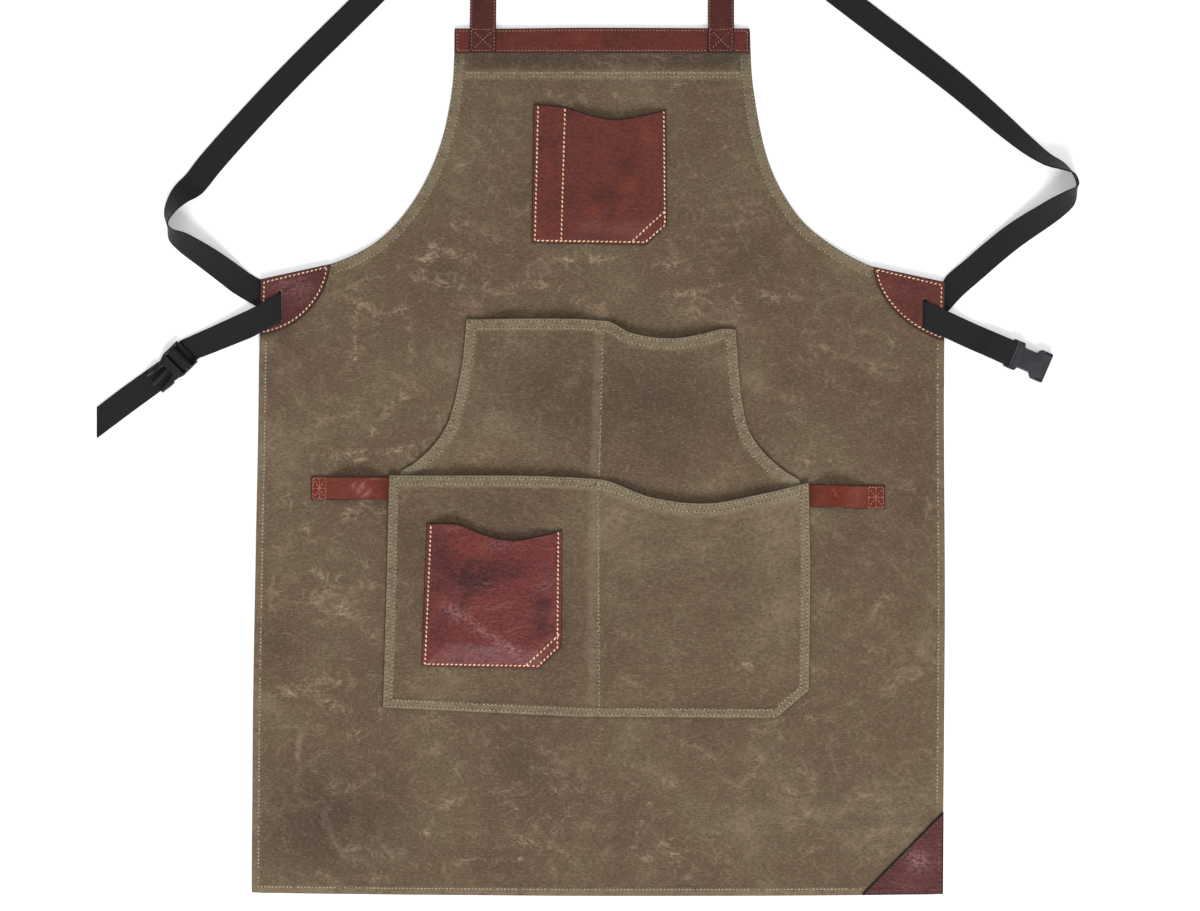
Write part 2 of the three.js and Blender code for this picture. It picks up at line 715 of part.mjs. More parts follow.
// Stations along rows of a table: side says on which hand edge a lies, and roll lifts edge a.
function layStations(rows, side) {
  const path = new THREE.CatmullRomCurve3(rows.map((p) => new THREE.Vector3(p.x, p.y, p.lift)));
  const turns = new THREE.CatmullRomCurve3(rows.map((p, k) => new THREE.Vector3(p.roll, k, 0)));
  const steps = (rows.length - 1) * STATIONS_PER_ROW;
  return Array.from({ length: steps + 1 }, (_, k) => {
    const t = k / steps;
    const tangent = path.getTangent(t).setZ(0).normalize();
    const roll = THREE.MathUtils.degToRad(THREE.MathUtils.clamp(turns.getPoint(t).x, 0, 90));
    const across = new THREE.Vector3(-tangent.y, tangent.x, 0).multiplyScalar(side * Math.cos(roll));
    across.setZ(Math.sin(roll));
    const rest = Math.sin(roll) * HALF_WEBBING + Math.cos(roll) * (WEBBING_THICK / 2);
    const middle = path.getPoint(t);
    middle.z = Math.max(middle.z, 0) + rest;
    return {
      a: middle.clone().addScaledVector(across, HALF_WEBBING),
      b: middle.clone().addScaledVector(across, -HALF_WEBBING),
    };
  });
}

// The fold through a side slot: a flat strip wrapped half round a line parallel to Y.
function foldStations(slot, side) {
  const inward = Math.sign(slot.heading.x);
  const slope = slot.heading.y / Math.abs(slot.heading.x);
  const half = HALF_WEBBING / Math.abs(slot.heading.x);
  const turn = Math.PI * FOLD_RADIUS;
  const bend = Array.from({ length: BEND_STEPS + 1 }, (_, k) => (turn * k) / BEND_STEPS);
  return [-FOLD_LEAD, ...bend, turn + FOLD_RUN].map((run) => {
    const angle = THREE.MathUtils.clamp(run / FOLD_RADIUS, 0, Math.PI);
    const straight = run < 0 ? run : Math.min(turn - run, 0);
    const x = slot.x + inward * (FOLD_RADIUS * Math.sin(angle) + straight);
    const y = slot.y + run * slope;
    const z = FOLD_MIDDLE - FOLD_RADIUS * Math.cos(angle);
    const hand = side * inward * half;
    return { a: new THREE.Vector3(x, y + hand, z), b: new THREE.Vector3(x, y - hand, z) };
  });
}

// Places a point given along and across a buckle half, and up, in the apron's frame.
function placed(place, along, across, up) {
  const { x, y } = place.heading;
  return new THREE.Vector3(place.x + along * x - across * y, place.y + along * y + across * x, up);
}

function threadStations(place, rows, side) {
  return rows.map((row) => ({
    a: placed(place, row.x, side * HALF_WEBBING, row.z),
    b: placed(place, row.x, -side * HALF_WEBBING, row.z),
  }));
}

function leftWebbing() {
  const tail = TAIL_END.x - TAIL_BEND.x;
  const fall = TAIL_END.y - TAIL_BEND.y;
  const normal = new THREE.Vector3(fall, -tail, 0).normalize().multiplyScalar(HALF_WEBBING);
  const bend = new THREE.Vector3(TAIL_BEND.x, TAIL_BEND.y, WEBBING_THICK / 2);
  const floor = WEBBING_THICK / 2;
  return ribbon([
    ...layStations(WEBBING_LEFT_ROWS, 1),
    ...foldStations(SLOT_LEFT, 1),
    ...threadStations(PLUG_PLACE, PLUG_THREAD, -1),
    { a: bend.clone().add(normal), b: bend.clone().sub(normal) },
    {
      a: new THREE.Vector3(TAIL_END.upper.x, TAIL_END.upper.y, floor),
      b: new THREE.Vector3(TAIL_END.lower.x, TAIL_END.lower.y, floor),
    },
  ], WEBBING_THICK);
}

function rightWebbing() {
  const middle = SOCKET.height / 2;
  const reach = SOCKET_BAR.radius + GAP + WEBBING_THICK / 2;
  const bend = Array.from({ length: BEND_STEPS + 1 }, (_, k) => {
    const angle = Math.PI / 2 - (Math.PI * k) / BEND_STEPS;
    return { x: SOCKET_BAR.middle + reach * Math.cos(angle), z: middle + reach * Math.sin(angle) };
  });
  const lead = { x: SOCKET_LEAD, z: middle + reach };
  return ribbon([
    ...layStations(WEBBING_RIGHT_ROWS, -1),
    ...foldStations(SLOT_RIGHT, -1),
    ...threadStations(SOCKET_PLACE, [lead, ...bend, ...LOOP_RETURN], 1),
  ], WEBBING_THICK);
}

// Buckle halves, built along X and then turned into place

function turned(geometry, place) {
  return geometry.rotateZ(Math.atan2(place.heading.y, place.heading.x)).translate(place.x, place.y, 0);
}

// A closed outline from its half on the positive side of X.
function mirrored(half) {
  return [...half, ...[...half].reverse().map((p) => ({ x: p.x, y: -p.y }))];
}

function crossBar(along, height, radius, half) {
  return new THREE.CylinderGeometry(radius, radius, 2 * half, BAR_SIDES).translate(along, 0, height);
}

function bucklePlug() {
  const { frame, halfFrame, halfWindow, base, top } = PLUG;
  const fork = extruded(mirrored(PLUG_HALF_OUTLINE), base, top);
  const rails = [1, -1].map((hand) => {
    const ys = [hand * halfWindow, hand * halfFrame].sort((p, q) => p - q);
    return box([0, frame], ys, [FOOT_GAP, top]);
  });
  const rear = box([REAR_BAR.from, REAR_BAR.to], [-halfFrame, halfFrame], [REAR_BAR.low, REAR_BAR.high]);
  const ladder = crossBar(LADDER_BAR.middle, LADDER_BAR.height, LADDER_BAR.radius, halfFrame);
  const joined = [...rails, rear, ladder].reduce((sum, piece) => sum.add(solid(piece)), solid(fork));
  return turned(geometryOf(joined), PLUG_PLACE);
}

function buckleSocket() {
  const { length, height, halfBlock } = SOCKET;
  const shell = solid(extruded(mirrored(SOCKET_HALF_OUTLINE), FOOT_GAP, height));
  const { from, half, low, high } = SOCKET_MOUTH;
  const mouth = box([from, length + 1], [-half, half], [low, high]);
  const { to, half: halfWindow } = SOCKET_WINDOW;
  const window = box([-1, to], [-halfWindow, halfWindow], CUT_HEIGHTS);
  const bar = crossBar(SOCKET_BAR.middle, height / 2, SOCKET_BAR.radius, halfBlock - GAP);
  const body = shell.subtract(solid(mouth)).subtract(solid(window)).add(solid(bar));
  return turned(geometryOf(body), SOCKET_PLACE);
}

const apron = new THREE.Group();

function addPiece(name, geometry, material) {
  const mesh = new THREE.Mesh(geometry, material);
  mesh.name = name;
  apron.add(mesh);
}

addPiece('apron_body', apronBody(), canvas);
addPiece('upper_pocket', pocketPanel(UPPER, upperEdges, upperBack, CANVAS), canvas);
addPiece('lower_pocket', pocketPanel(LOWER, lowerEdges, lowerBack, CANVAS), canvas);
addPiece('chest_pocket', pocketPanel(CHEST, chestEdges, chestBack, LEATHER), leather);
addPiece('patch_pocket', pocketPanel(PATCH, patchEdges, patchBack, LEATHER), leather);
addPiece('top_band', topBand(), leather);
addPiece('shoulder_strap_left', shoulderStrap(STRAP_LEFT), leather);
addPiece('shoulder_strap_right', shoulderStrap(STRAP_RIGHT), leather);
addPiece('tool_loop_left', toolLoop(LOOP_LEFT), leather);
addPiece('tool_loop_right', toolLoop(LOOP_RIGHT), leather);
addPiece('side_patch_left', sidePatch(SIDE_PATCH_LEFT, SLOT_LEFT), leather);
addPiece('side_patch_right', sidePatch(SIDE_PATCH_RIGHT, SLOT_RIGHT), leather);
addPiece('corner_patch', cornerPatch(), leather);
addPiece('webbing_left', leftWebbing(), webbing);
addPiece('webbing_right', rightWebbing(), webbing);
addPiece('buckle_plug', bucklePlug(), plastic);
addPiece('buckle_socket', buckleSocket(), plastic);

export default apron;
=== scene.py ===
# %% [markdown]
# # A waxed canvas work apron, laid flat
# The apron is a bib and skirt of waxed canvas with canvas and leather pockets, leather loops and patches,
# black webbing and an open buckle. It lies face up, so nearly every piece is a thin sheet with a wall of
# one or two millimetres. Each sheet is worked out here as a grid of points with numpy and laid exactly
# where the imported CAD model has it. Lengths in the tables are millimetres, and meshes are in metres.

import json

import bpy
import numpy as np
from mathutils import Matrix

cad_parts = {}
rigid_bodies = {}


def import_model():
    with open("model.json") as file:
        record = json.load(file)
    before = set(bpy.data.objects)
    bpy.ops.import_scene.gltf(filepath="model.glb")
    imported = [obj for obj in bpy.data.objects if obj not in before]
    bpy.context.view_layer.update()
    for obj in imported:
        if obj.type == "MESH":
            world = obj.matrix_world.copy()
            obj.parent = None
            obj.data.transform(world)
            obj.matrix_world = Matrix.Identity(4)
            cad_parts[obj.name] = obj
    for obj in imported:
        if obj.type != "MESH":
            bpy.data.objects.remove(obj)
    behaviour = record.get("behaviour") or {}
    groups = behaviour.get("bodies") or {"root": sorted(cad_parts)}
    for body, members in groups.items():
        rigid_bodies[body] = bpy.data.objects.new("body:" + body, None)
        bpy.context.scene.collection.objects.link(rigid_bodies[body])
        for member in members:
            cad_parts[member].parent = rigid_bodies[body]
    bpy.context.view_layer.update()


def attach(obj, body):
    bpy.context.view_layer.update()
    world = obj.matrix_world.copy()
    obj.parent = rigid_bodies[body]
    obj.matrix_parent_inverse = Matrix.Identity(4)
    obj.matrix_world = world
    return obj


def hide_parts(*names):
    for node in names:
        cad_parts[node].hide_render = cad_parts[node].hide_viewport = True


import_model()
MM = 0.001

# %% [markdown]
# ## Camera, floor and light
# The photograph looks straight down, so the camera hangs over the apron with no turn and the image's up is
# the apron's +Y. One pixel is 0.995 mm. A long lens keeps the view close to parallel. The light is that of
# a white product table: four broad soft lights round the edge, the strongest at the hem, so that shadows
# fall a little towards the bib. Flat leather then mirrors the dim space overhead and keeps its colour,
# while folds catch a light.

# %% Camera at the photograph's angle
PHOTO_WIDE = 1200
PIXEL = 0.995
PHOTO_MIDDLE_Y = 18.9
LENS = 80.0
SENSOR = 36.0
FAR_CLIP = 50

scene = bpy.context.scene
camera_data = bpy.data.cameras.new("camera")
camera_data.lens = LENS
camera_data.sensor_width = SENSOR
camera_data.sensor_fit = "HORIZONTAL"
camera_data.clip_end = FAR_CLIP
camera = bpy.data.objects.new("camera", camera_data)
camera_height = PHOTO_WIDE * PIXEL * MM * LENS / SENSOR
camera.location = (0, PHOTO_MIDDLE_Y * MM, camera_height)
scene.collection.objects.link(camera)
scene.camera = camera
print("camera height", round(camera_height, 3), "m")

# %% Floor, soft lights and a dim white surround
FLOOR_HALF = 9.0
FLOOR_DROP = 0.0004
SURROUND_STRENGTH = 0.34
# name, place round the apron (X, Y), height, power and size
SOFT_LIGHTS = [
    ("light_hem", (0.6, -5.0), 3.7, 388, 2.4),
    ("light_bib", (-0.2, 2.1), 1.8, 12, 2.4),
    ("light_left", (-2.1, 0.1), 1.6, 15, 2.0),
    ("light_right", (2.1, -0.1), 1.6, 18, 2.0),
]

corner = np.array([[-1, -1, 0], [1, -1, 0], [1, 1, 0], [-1, 1, 0]]) * FLOOR_HALF
corner[:, 2] = -FLOOR_DROP
floor_mesh = bpy.data.meshes.new("floor")
floor_mesh.from_pydata(corner.tolist(), [], [(0, 1, 2, 3)])
floor = bpy.data.objects.new("floor", floor_mesh)
scene.collection.objects.link(floor)

for name, place, height, power, size in SOFT_LIGHTS:
    light = bpy.data.lights.new(name, "AREA")
    light.energy = power
    light.size = size
    lamp = bpy.data.objects.new(name, light)
    lamp.location = (*place, height)
    aim = -lamp.location
    lamp.rotation_euler = aim.to_track_quat("-Z", "Y").to_euler()
    scene.collection.objects.link(lamp)

world = bpy.data.worlds.new("studio")
world.use_nodes = True
world.node_tree.nodes["Background"].inputs["Color"].default_value = (1, 1, 1, 1)
world.node_tree.nodes["Background"].inputs["Strength"].default_value = SURROUND_STRENGTH
scene.world = world
scene.view_settings.view_transform = "Standard"
print("lights:", [row[0] for row in SOFT_LIGHTS])

# %% [markdown]
# ## Meshes from grids
# A sheet of cloth or leather is two grids of points, its front and its back, closed by a strip round the
# border. A strap, further down, is a small closed outline carried along a line. Both are whole arrays: numpy
# computes every point at once, and the faces are index arithmetic on the grid.

# %% Grid faces and closed sheets
def grid_quads(rows, columns, start=0):
    """Quads of a grid of points numbered row by row: a point, its right neighbour and the two above."""
    first = (np.arange(rows - 1)[:, None] * columns + np.arange(columns - 1)).ravel() + start
    return np.stack([first, first + 1, first + columns + 1, first + columns], axis=1)


def closed_sheet(front, back, kept=None):
    """Points and quads of a wall: the front grid, the back grid turned over, and a strip at each open edge.

    kept says which quads of the grid are cloth, so that a slot can be left open. An edge is open where no
    other kept quad runs along it the other way.
    """
    rows, columns = front.shape[:2]
    layer = rows * columns
    faces = grid_quads(rows, columns)
    if kept is not None:
        faces = faces[kept.ravel()]
    start = faces.ravel()
    end = np.roll(faces, -1, axis=1).ravel()
    is_open = ~np.isin(end * layer + start, start * layer + end)
    start, end = start[is_open], end[is_open]
    side = np.stack([end, start, start + layer, end + layer], axis=1)
    points = np.concatenate([front.reshape(-1, 3), back.reshape(-1, 3)])
    return points, np.concatenate([faces, faces[:, ::-1] + layer, side])


def cell_middles(grid):
    """The mean of each grid cell's four corners."""
    return (grid[:-1, :-1] + grid[1:, :-1] + grid[1:, 1:] + grid[:-1, 1:]) / 4


def in_hole(x, y, hole, margin=0.0):
    """Which cells of a grid have their middle in a hole from low x to high x and low y to high y."""
    x, y = cell_middles(x), cell_middles(y)
    return (x > hole[0] - margin) & (x < hole[1] + margin) & (y > hole[2]) & (y < hole[3])


print("a grid of 3 by 4 points has", len(grid_quads(3, 4)), "quads")

# %% Mesh objects and the numbers stored on them
def new_mesh(name, points, quads, caps=()):
    """A mesh object in metres from points in millimetres, smooth shaded, with its place in its vertices."""
    mesh = bpy.data.meshes.new(name)
    faces = np.asarray(quads).tolist() + [np.asarray(cap).tolist() for cap in caps]
    mesh.from_pydata((np.asarray(points) * MM).tolist(), [], faces)
    mesh.polygons.foreach_set("use_smooth", np.ones(len(mesh.polygons), bool))
    mesh.update()
    piece = bpy.data.objects.new(name, mesh)
    scene.collection.objects.link(piece)
    return piece


def point_values(piece, name, values):
    """Stores one number for each vertex as a named attribute that a material can read."""
    attribute = piece.data.attributes.new(name, "FLOAT", "POINT")
    attribute.data.foreach_set("value", np.asarray(values, np.float32).ravel())


def sheet_values(piece, name, values):
    """Stores the same numbers on the front grid and the back grid of a closed sheet."""
    point_values(piece, name, np.tile(values.ravel(), 2))


def finish_piece(piece, material, slot, *nodes):
    """Gives a piece its material and ties it to the frame: it rides on the apron and stands for its nodes."""
    piece.data.materials.append(material)
    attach(piece, "root")
    if nodes:
        piece.name = f"{nodes[0]}_look"
        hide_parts(*nodes)
    piece.data.update()
    print(piece.name, len(piece.data.vertices), "points")
    return piece


print("meshes so far:", len(bpy.data.meshes))

# %% Smooth lines through short tables
def smooth_step(value, low, high):
    """0 below low, 1 above high, and 3t^2 - 2t^3 between them."""
    t = np.clip((value - low) / (high - low), 0, 1)
    return t * t * (3 - 2 * t)


def hermite(start, leave, end, arrive, t):
    """The cubic from start to end with the slopes leave and arrive there, at a share t of the way."""
    return (start * (1 + 2 * t) * (1 - t) ** 2 + leave * t * (1 - t) ** 2
            + end * t * t * (3 - 2 * t) - arrive * t * t * (1 - t))


def eased(rows, at):
    """A curve through table rows: a cubic between rows, with each slope the chord of the row's neighbours."""
    table = np.asarray(rows, float)
    x, y = table[np.argsort(table[:, 0])].T
    low = np.maximum(np.arange(len(x)) - 1, 0)
    high = np.minimum(np.arange(len(x)) + 1, len(x) - 1)
    slope = (y[high] - y[low]) / (x[high] - x[low])
    k = np.clip(np.searchsorted(x, at) - 1, 0, len(x) - 2)
    span = x[k + 1] - x[k]
    t = np.clip((at - x[k]) / span, 0, 1)
    return hermite(y[k], span * slope[k], y[k + 1], span * slope[k + 1], t)


def straight(rows, at):
    """The same table joined with straight lines."""
    table = np.asarray(rows, float)
    x, y = table[np.argsort(table[:, 0])].T
    return np.interp(at, x, y)


def spline(rows, steps=400):
    """A smooth line through points: cubic pieces whose tangents are half the chord of the two neighbours."""
    p = np.asarray(rows, float)
    tangent = np.vstack([p[1] - p[0], p[2:] - p[:-2], p[-1] - p[-2]]) / 2
    u = np.linspace(0, len(p) - 1, steps)
    k = np.minimum(u.astype(int), len(p) - 2)
    t = (u - k)[:, None]
    return hermite(p[k], tangent[k], p[k + 1], tangent[k + 1], t)


def run_lengths(line):
    """Distance travelled along a line at each of its points."""
    step = np.linalg.norm(np.diff(line, axis=0), axis=1)
    return np.concatenate([[0], np.cumsum(step)])


def points_along(line, distances):
    """Points of a line at the given distances along it."""
    run = run_lengths(line)
    return np.stack([np.interp(distances, run, column) for column in line.T], axis=1)


def unit(rows):
    """Each row of numbers divided by its length."""
    return rows / np.linalg.norm(rows, axis=1, keepdims=True)


def directions(line):
    """Unit direction of a line at each of its points."""
    return unit(np.gradient(line, axis=0))


print("a spline through 3 points has", len(spline([(0, 0), (1, 1), (2, 0)])), "samples")

# %% [markdown]
# ## Shader helpers
# Every finish here is procedural: noise, cells and waves read at the surface's own place in metres.
# Node trees are long to write out, so small helpers add a node, mix colours, do arithmetic and turn a value
# into a soft mask. Effects that several finishes share become node groups with named sockets.

# %% Colours and single nodes
def colour(code):
    """A linear RGBA colour from a six-digit hex code: each channel through the sRGB curve."""
    channel = np.array([int(code[k:k + 2], 16) for k in (0, 2, 4)]) / 255
    linear = np.where(channel <= 0.04045, channel / 12.92, ((channel + 0.055) / 1.055) ** 2.4)
    return (*linear.tolist(), 1.0)


def feed(tree, socket, value):
    """Links another node's socket to an input, or sets any other value on the input."""
    if isinstance(value, bpy.types.NodeSocket):
        tree.links.new(value, socket)
    else:
        socket.default_value = value


def add_node(tree, kind, inputs=None, **settings):
    """Adds a node with its settings, and feeds its inputs."""
    made = tree.nodes.new(kind)
    for name, value in settings.items():
        setattr(made, name, value)
    for key, value in (inputs or {}).items():
        feed(tree, made.inputs[key], value)
    return made


def mixed(tree, factor, first, second, blend="MIX"):
    """A colour between two, by a factor: Mix has its colours at inputs 6 and 7 and its colour at output 2."""
    inputs = {0: factor, 6: first, 7: second}
    made = add_node(tree, "ShaderNodeMix", inputs, data_type="RGBA", blend_type=blend)
    return made.outputs[2]


def number(tree, operation, first, second=0.0):
    """One step of arithmetic on two numbers."""
    return add_node(tree, "ShaderNodeMath", {0: first, 1: second}, operation=operation).outputs[0]


def mask(tree, value, low, high, top=1.0):
    """A soft mask: 0 where the value is at low, rising smoothly to top where it is at high."""
    inputs = {"Value": value, "From Min": low, "From Max": high, "To Max": top}
    return add_node(tree, "ShaderNodeMapRange", inputs, interpolation_type="SMOOTHSTEP").outputs[0]


def stretched(tree, vector, scale):
    """A vector multiplied by three scales, for patterns that are longer one way."""
    inputs = {0: vector, 1: scale}
    return add_node(tree, "ShaderNodeVectorMath", inputs, operation="MULTIPLY").outputs[0]


def noise(tree, vector, scale, detail=3.0, roughness=0.55, distortion=0.0):
    """Soft random values round 0.5."""
    inputs = {"Vector": vector, "Scale": scale, "Detail": detail, "Roughness": roughness}
    inputs["Distortion"] = distortion
    return add_node(tree, "ShaderNodeTexNoise", inputs).outputs[0]


def cells(tree, vector, scale, feature="F1"):
    """Distance to the nearest cell's middle, or to the nearest cell edge."""
    inputs = {"Vector": vector, "Scale": scale}
    return add_node(tree, "ShaderNodeTexVoronoi", inputs, feature=feature).outputs[0]


print("olive as linear colour:", [round(c, 3) for c in colour("685b49")])

# %% Node groups with named sockets
def new_group(name, inputs, outputs):
    """An empty node group with named sockets, and the sockets that its nodes read and fill."""
    tree = bpy.data.node_groups.new(name, "ShaderNodeTree")
    for label, kind, value in inputs:
        socket = tree.interface.new_socket(label, in_out="INPUT", socket_type=kind)
        if value is not None:
            socket.default_value = value
    for label in outputs:
        tree.interface.new_socket(label, in_out="OUTPUT", socket_type="NodeSocketFloat")
    given = tree.nodes.new("NodeGroupInput").outputs
    wanted = tree.nodes.new("NodeGroupOutput").inputs
    return tree, given, wanted


def fill_group(tree, wanted, **values):
    """Links the finished values of a group to its outputs of the same names."""
    for label, value in values.items():
        tree.links.new(value, wanted[label])


def place_group(tree, group, **inputs):
    """Puts a group into a material, with its own values, and gives its outputs."""
    made = add_node(tree, "ShaderNodeGroup", node_tree=group)
    for label, value in inputs.items():
        feed(tree, made.inputs[label], value)
    return made.outputs


print("node groups so far:", len(bpy.data.node_groups))

# %% Materials
def new_material(name, **constants):
    """A material with one Principled shader, whose constant values are set on its own sockets."""
    material = bpy.data.materials.new(name)
    material.use_nodes = True
    shader = material.node_tree.nodes["Principled BSDF"]
    for label, value in constants.items():
        shader.inputs[label.replace("_", " ")].default_value = value
    return material, material.node_tree, shader


def painted(tree, base, layers):
    """Lays colours over a base, each by a soft mask: rows of a value, low, high, top and the colour."""
    for value, low, high, top, over in layers:
        base = mixed(tree, mask(tree, value, low, high, top), base, over)
    return base


def surfaced(tree, shader, base, rough, height, distance, strength=1.0):
    """Links a colour and a roughness to the shader, and a height in metres times distance to its normal."""
    inputs = {"Height": height, "Distance": distance, "Strength": strength}
    normal = add_node(tree, "ShaderNodeBump", inputs).outputs[0]
    for label, socket in (("Base Color", base), ("Roughness", rough), ("Normal", normal)):
        tree.links.new(socket, shader.inputs[label])


def object_place(tree):
    """The surface's own place in metres, in the apron's frame because every object sits at the origin."""
    return add_node(tree, "ShaderNodeTexCoord").outputs["Object"]


def stored(tree, name):
    """A number that was stored on the mesh's vertices."""
    return add_node(tree, "ShaderNodeAttribute", attribute_name=name).outputs["Fac"]


print("materials so far:", len(bpy.data.materials))

# %% [markdown]
# ## Weave and wax
# Duck canvas is a plain weave: each thread passes over one and under the next, so its height is the product
# of two sine waves. Yarn is never even, so long thin noise, stretched along each thread direction, gives
# the slubs that show from a distance. Wax turns pale where it cracks: thin broken lines along creases, and
# cloudy patches where the cloth was rubbed. Lines come from the edges of large distorted cells, and clouds
# from noise, each cut up by another noise so that no pattern runs on.

# %% Node group: plain weave with slubs
VECTOR_INPUT = ("Vector", "NodeSocketVector", None)
weave_group, given, wanted = new_group(
    "plain_weave", [VECTOR_INPUT, ("Pitch", "NodeSocketFloat", 0.001)], ["Height", "Slub"])
turns = number(weave_group, "DIVIDE", 2 * np.pi, given["Pitch"])
turn_inputs = {0: given["Vector"], "Scale": turns}
turned = add_node(weave_group, "ShaderNodeVectorMath", turn_inputs, operation="SCALE").outputs[0]
axes = add_node(weave_group, "ShaderNodeSeparateXYZ", {0: turned}).outputs
over = number(weave_group, "SINE", axes[0])
under = number(weave_group, "SINE", axes[1])
woven = number(weave_group, "MULTIPLY", over, under)
# density of the slubs along X, Y and Z, and the share of the sum, for the weft and for the warp
SLUBS = [((260.0, 760.0, 45.0), 0.7), ((620.0, 300.0, 45.0), 0.3)]
yarns = []
for density, part in SLUBS:
    yarn = noise(weave_group, stretched(weave_group, given["Vector"], density), 1.0, 3.0, 0.65)
    yarns.append(number(weave_group, "MULTIPLY", yarn, part))
fill_group(weave_group, wanted, Height=woven, Slub=number(weave_group, "ADD", *yarns))
print("group", weave_group.name, len(weave_group.nodes), "nodes")

# %% Node group: creased and rubbed wax
wax_group, given, wanted = new_group(
    "wax_marks", [VECTOR_INPUT], ["Crease", "Crackle", "Rub", "Tone", "Fine"])
place = given["Vector"]
DRIFT_NOISE = {"Scale": 9.0, "Detail": 4.0}
DRIFT_REACH = 0.09
drift = add_node(wax_group, "ShaderNodeTexNoise", {"Vector": place, **DRIFT_NOISE}).outputs["Color"]
drift_inputs = {0: drift, "Scale": DRIFT_REACH}
drift = add_node(wax_group, "ShaderNodeVectorMath", drift_inputs, operation="SCALE").outputs[0]
wandering = add_node(wax_group, "ShaderNodeVectorMath", {0: place, 1: drift}, operation="ADD").outputs[0]
# cells for each metre, line width in cells, and the noise that breaks the lines up
CREASE_SETS = [(11.0, 0.06, 9.0, 0.52, 0.75), (27.0, 0.08, 15.0, 0.54, 0.78)]
crease = 0.0
for density, width, patch, low, high in CREASE_SETS:
    edge = cells(wax_group, wandering, density, "DISTANCE_TO_EDGE")
    line = mask(wax_group, edge, width, 0.0)
    broken = mask(wax_group, noise(wax_group, place, patch, 5.0, 0.7), low, high)
    crease = number(wax_group, "MAXIMUM", number(wax_group, "MULTIPLY", line, broken), crease)
# a crackle is a thin line where a distorted noise passes through its middle value
ripple = noise(wax_group, stretched(wax_group, place, (1.0, 1.35, 1.0)), 30.0, 4.0, 0.6, 1.0)
offset = number(wax_group, "ABSOLUTE", number(wax_group, "SUBTRACT", ripple, 0.5))
thin = mask(wax_group, offset, 0.035, 0.0)
patchy = mask(wax_group, noise(wax_group, place, 60.0, 3.0), 0.35, 0.6)
crackle = number(wax_group, "MULTIPLY", thin, patchy)
cloud = noise(wax_group, stretched(wax_group, place, (1.0, 1.5, 1.0)), 13.0, 7.0, 0.68, 0.6)
rubbed = mask(wax_group, cloud, 0.50, 0.74)
tone = noise(wax_group, place, 7.5, 4.0, 0.55)
fine = noise(wax_group, stretched(wax_group, place, (1.0, 1.7, 1.0)), 95.0, 5.0, 0.8)
fill_group(wax_group, wanted, Crease=crease, Crackle=crackle, Rub=rubbed, Tone=tone, Fine=fine)
print("group", wax_group.name, len(wax_group.nodes), "nodes")

# %% Waxed canvas, for the body and, a little cleaner, for its pockets
CANVAS_BROWN = colour("68533f")
CANVAS_GREEN = colour("64543f")
CANVAS_DARK = colour("403326")
WAX_PALE = colour("a39078")
WAX_HEM = colour("8f8269")
CANVAS_EDGE_SHADE = colour("2a221a")


def waxed_canvas(name, rub, crease, blotch):
    """Brown and green by slow noise, darkened by slubs, then paled by rubbed clouds, wear marks and hems,
    with a painted highlight along each pocket hem's fold and a painted shadow line along the pockets' edges.

    Wear stored on the mesh is pale where positive and dark where negative, and fine noise frays its outline.
    """
    material, tree, shader = new_material(
        name, Specular_IOR_Level=0.2, Sheen_Weight=0.05, Sheen_Roughness=0.6)
    place = object_place(tree)
    weave = place_group(tree, weave_group, Vector=place, Pitch=0.0011)
    wax = place_group(tree, wax_group, Vector=place)
    wear_and_sheen = stored(tree, "wear_and_sheen")
    on_threads = mask(tree, weave["Slub"], 0.25, 0.6)
    scuffed = number(tree, "MULTIPLY", mask(tree, wax["Fine"], 0.30, 0.72, 1.2), on_threads)
    crackled = number(tree, "ADD", scuffed, number(tree, "MULTIPLY", wax["Crackle"], 1.1))
    frayed = number(tree, "MULTIPLY", wear_and_sheen, crackled)
    base = painted(tree, CANVAS_BROWN, [
        (wax["Tone"], 0.34, 0.66, 1.0, CANVAS_GREEN),
        (wax["Tone"], 0.52, 0.30, 0.42, CANVAS_DARK),
        (wax["Tone"], 0.50, 0.72, 0.22, WAX_PALE),
        (wear_and_sheen, 0.0, -1.0, 0.8, CANVAS_DARK),
        (wax["Fine"], 0.54, 0.24, blotch, CANVAS_DARK),
        (weave["Slub"], 0.53, 0.32, 0.66, CANVAS_DARK),
        (weave["Slub"], 0.50, 0.70, 0.34, WAX_PALE),
    ])
    cloud = number(tree, "MULTIPLY", wax["Rub"], mask(tree, wax["Fine"], 0.30, 0.62, rub))
    base = mixed(tree, cloud, base, WAX_PALE)
    crackles = number(tree, "MULTIPLY", wax["Crackle"], number(tree, "ADD", wax["Rub"], 0.4))
    lines = number(tree, "MAXIMUM", wax["Crease"], crackles)
    base = mixed(tree, number(tree, "MULTIPLY", lines, crease), base, WAX_PALE)
    base = mixed(tree, mask(tree, frayed, 0.02, 1.0, 0.9), base, WAX_PALE)
    # the stored hem mask holds pale worn wax on the hems and a painted highlight along each fold
    worn_hem = number(tree, "MULTIPLY", stored(tree, "hem"), mask(tree, wax["Fine"], 0.25, 0.6, 1.2))
    base = mixed(tree, worn_hem, base, WAX_HEM)
    # a painted shadow line along the pockets' edges, from the stored edge mask
    base = mixed(tree, mask(tree, stored(tree, "edge"), 0.1, 0.9, 0.8), base, CANVAS_EDGE_SHADE)
    rough = number(tree, "ADD", mask(tree, wax["Rub"], 0.0, 1.0, 0.16), 0.62)
    threads = number(tree, "ADD", number(tree, "MULTIPLY", weave["Height"], 0.35), weave["Slub"])
    height = number(tree, "ADD", threads, number(tree, "MULTIPLY", wax["Crease"], 0.5))
    surfaced(tree, shader, base, rough, height, 0.0006, 0.8)
    return material


body_canvas = waxed_canvas("body_canvas", rub=0.3, crease=0.42, blotch=0.34)
pocket_canvas = waxed_canvas("pocket_canvas", rub=0.2, crease=0.25, blotch=0.15)
print("finishes:", body_canvas.name, pocket_canvas.name)

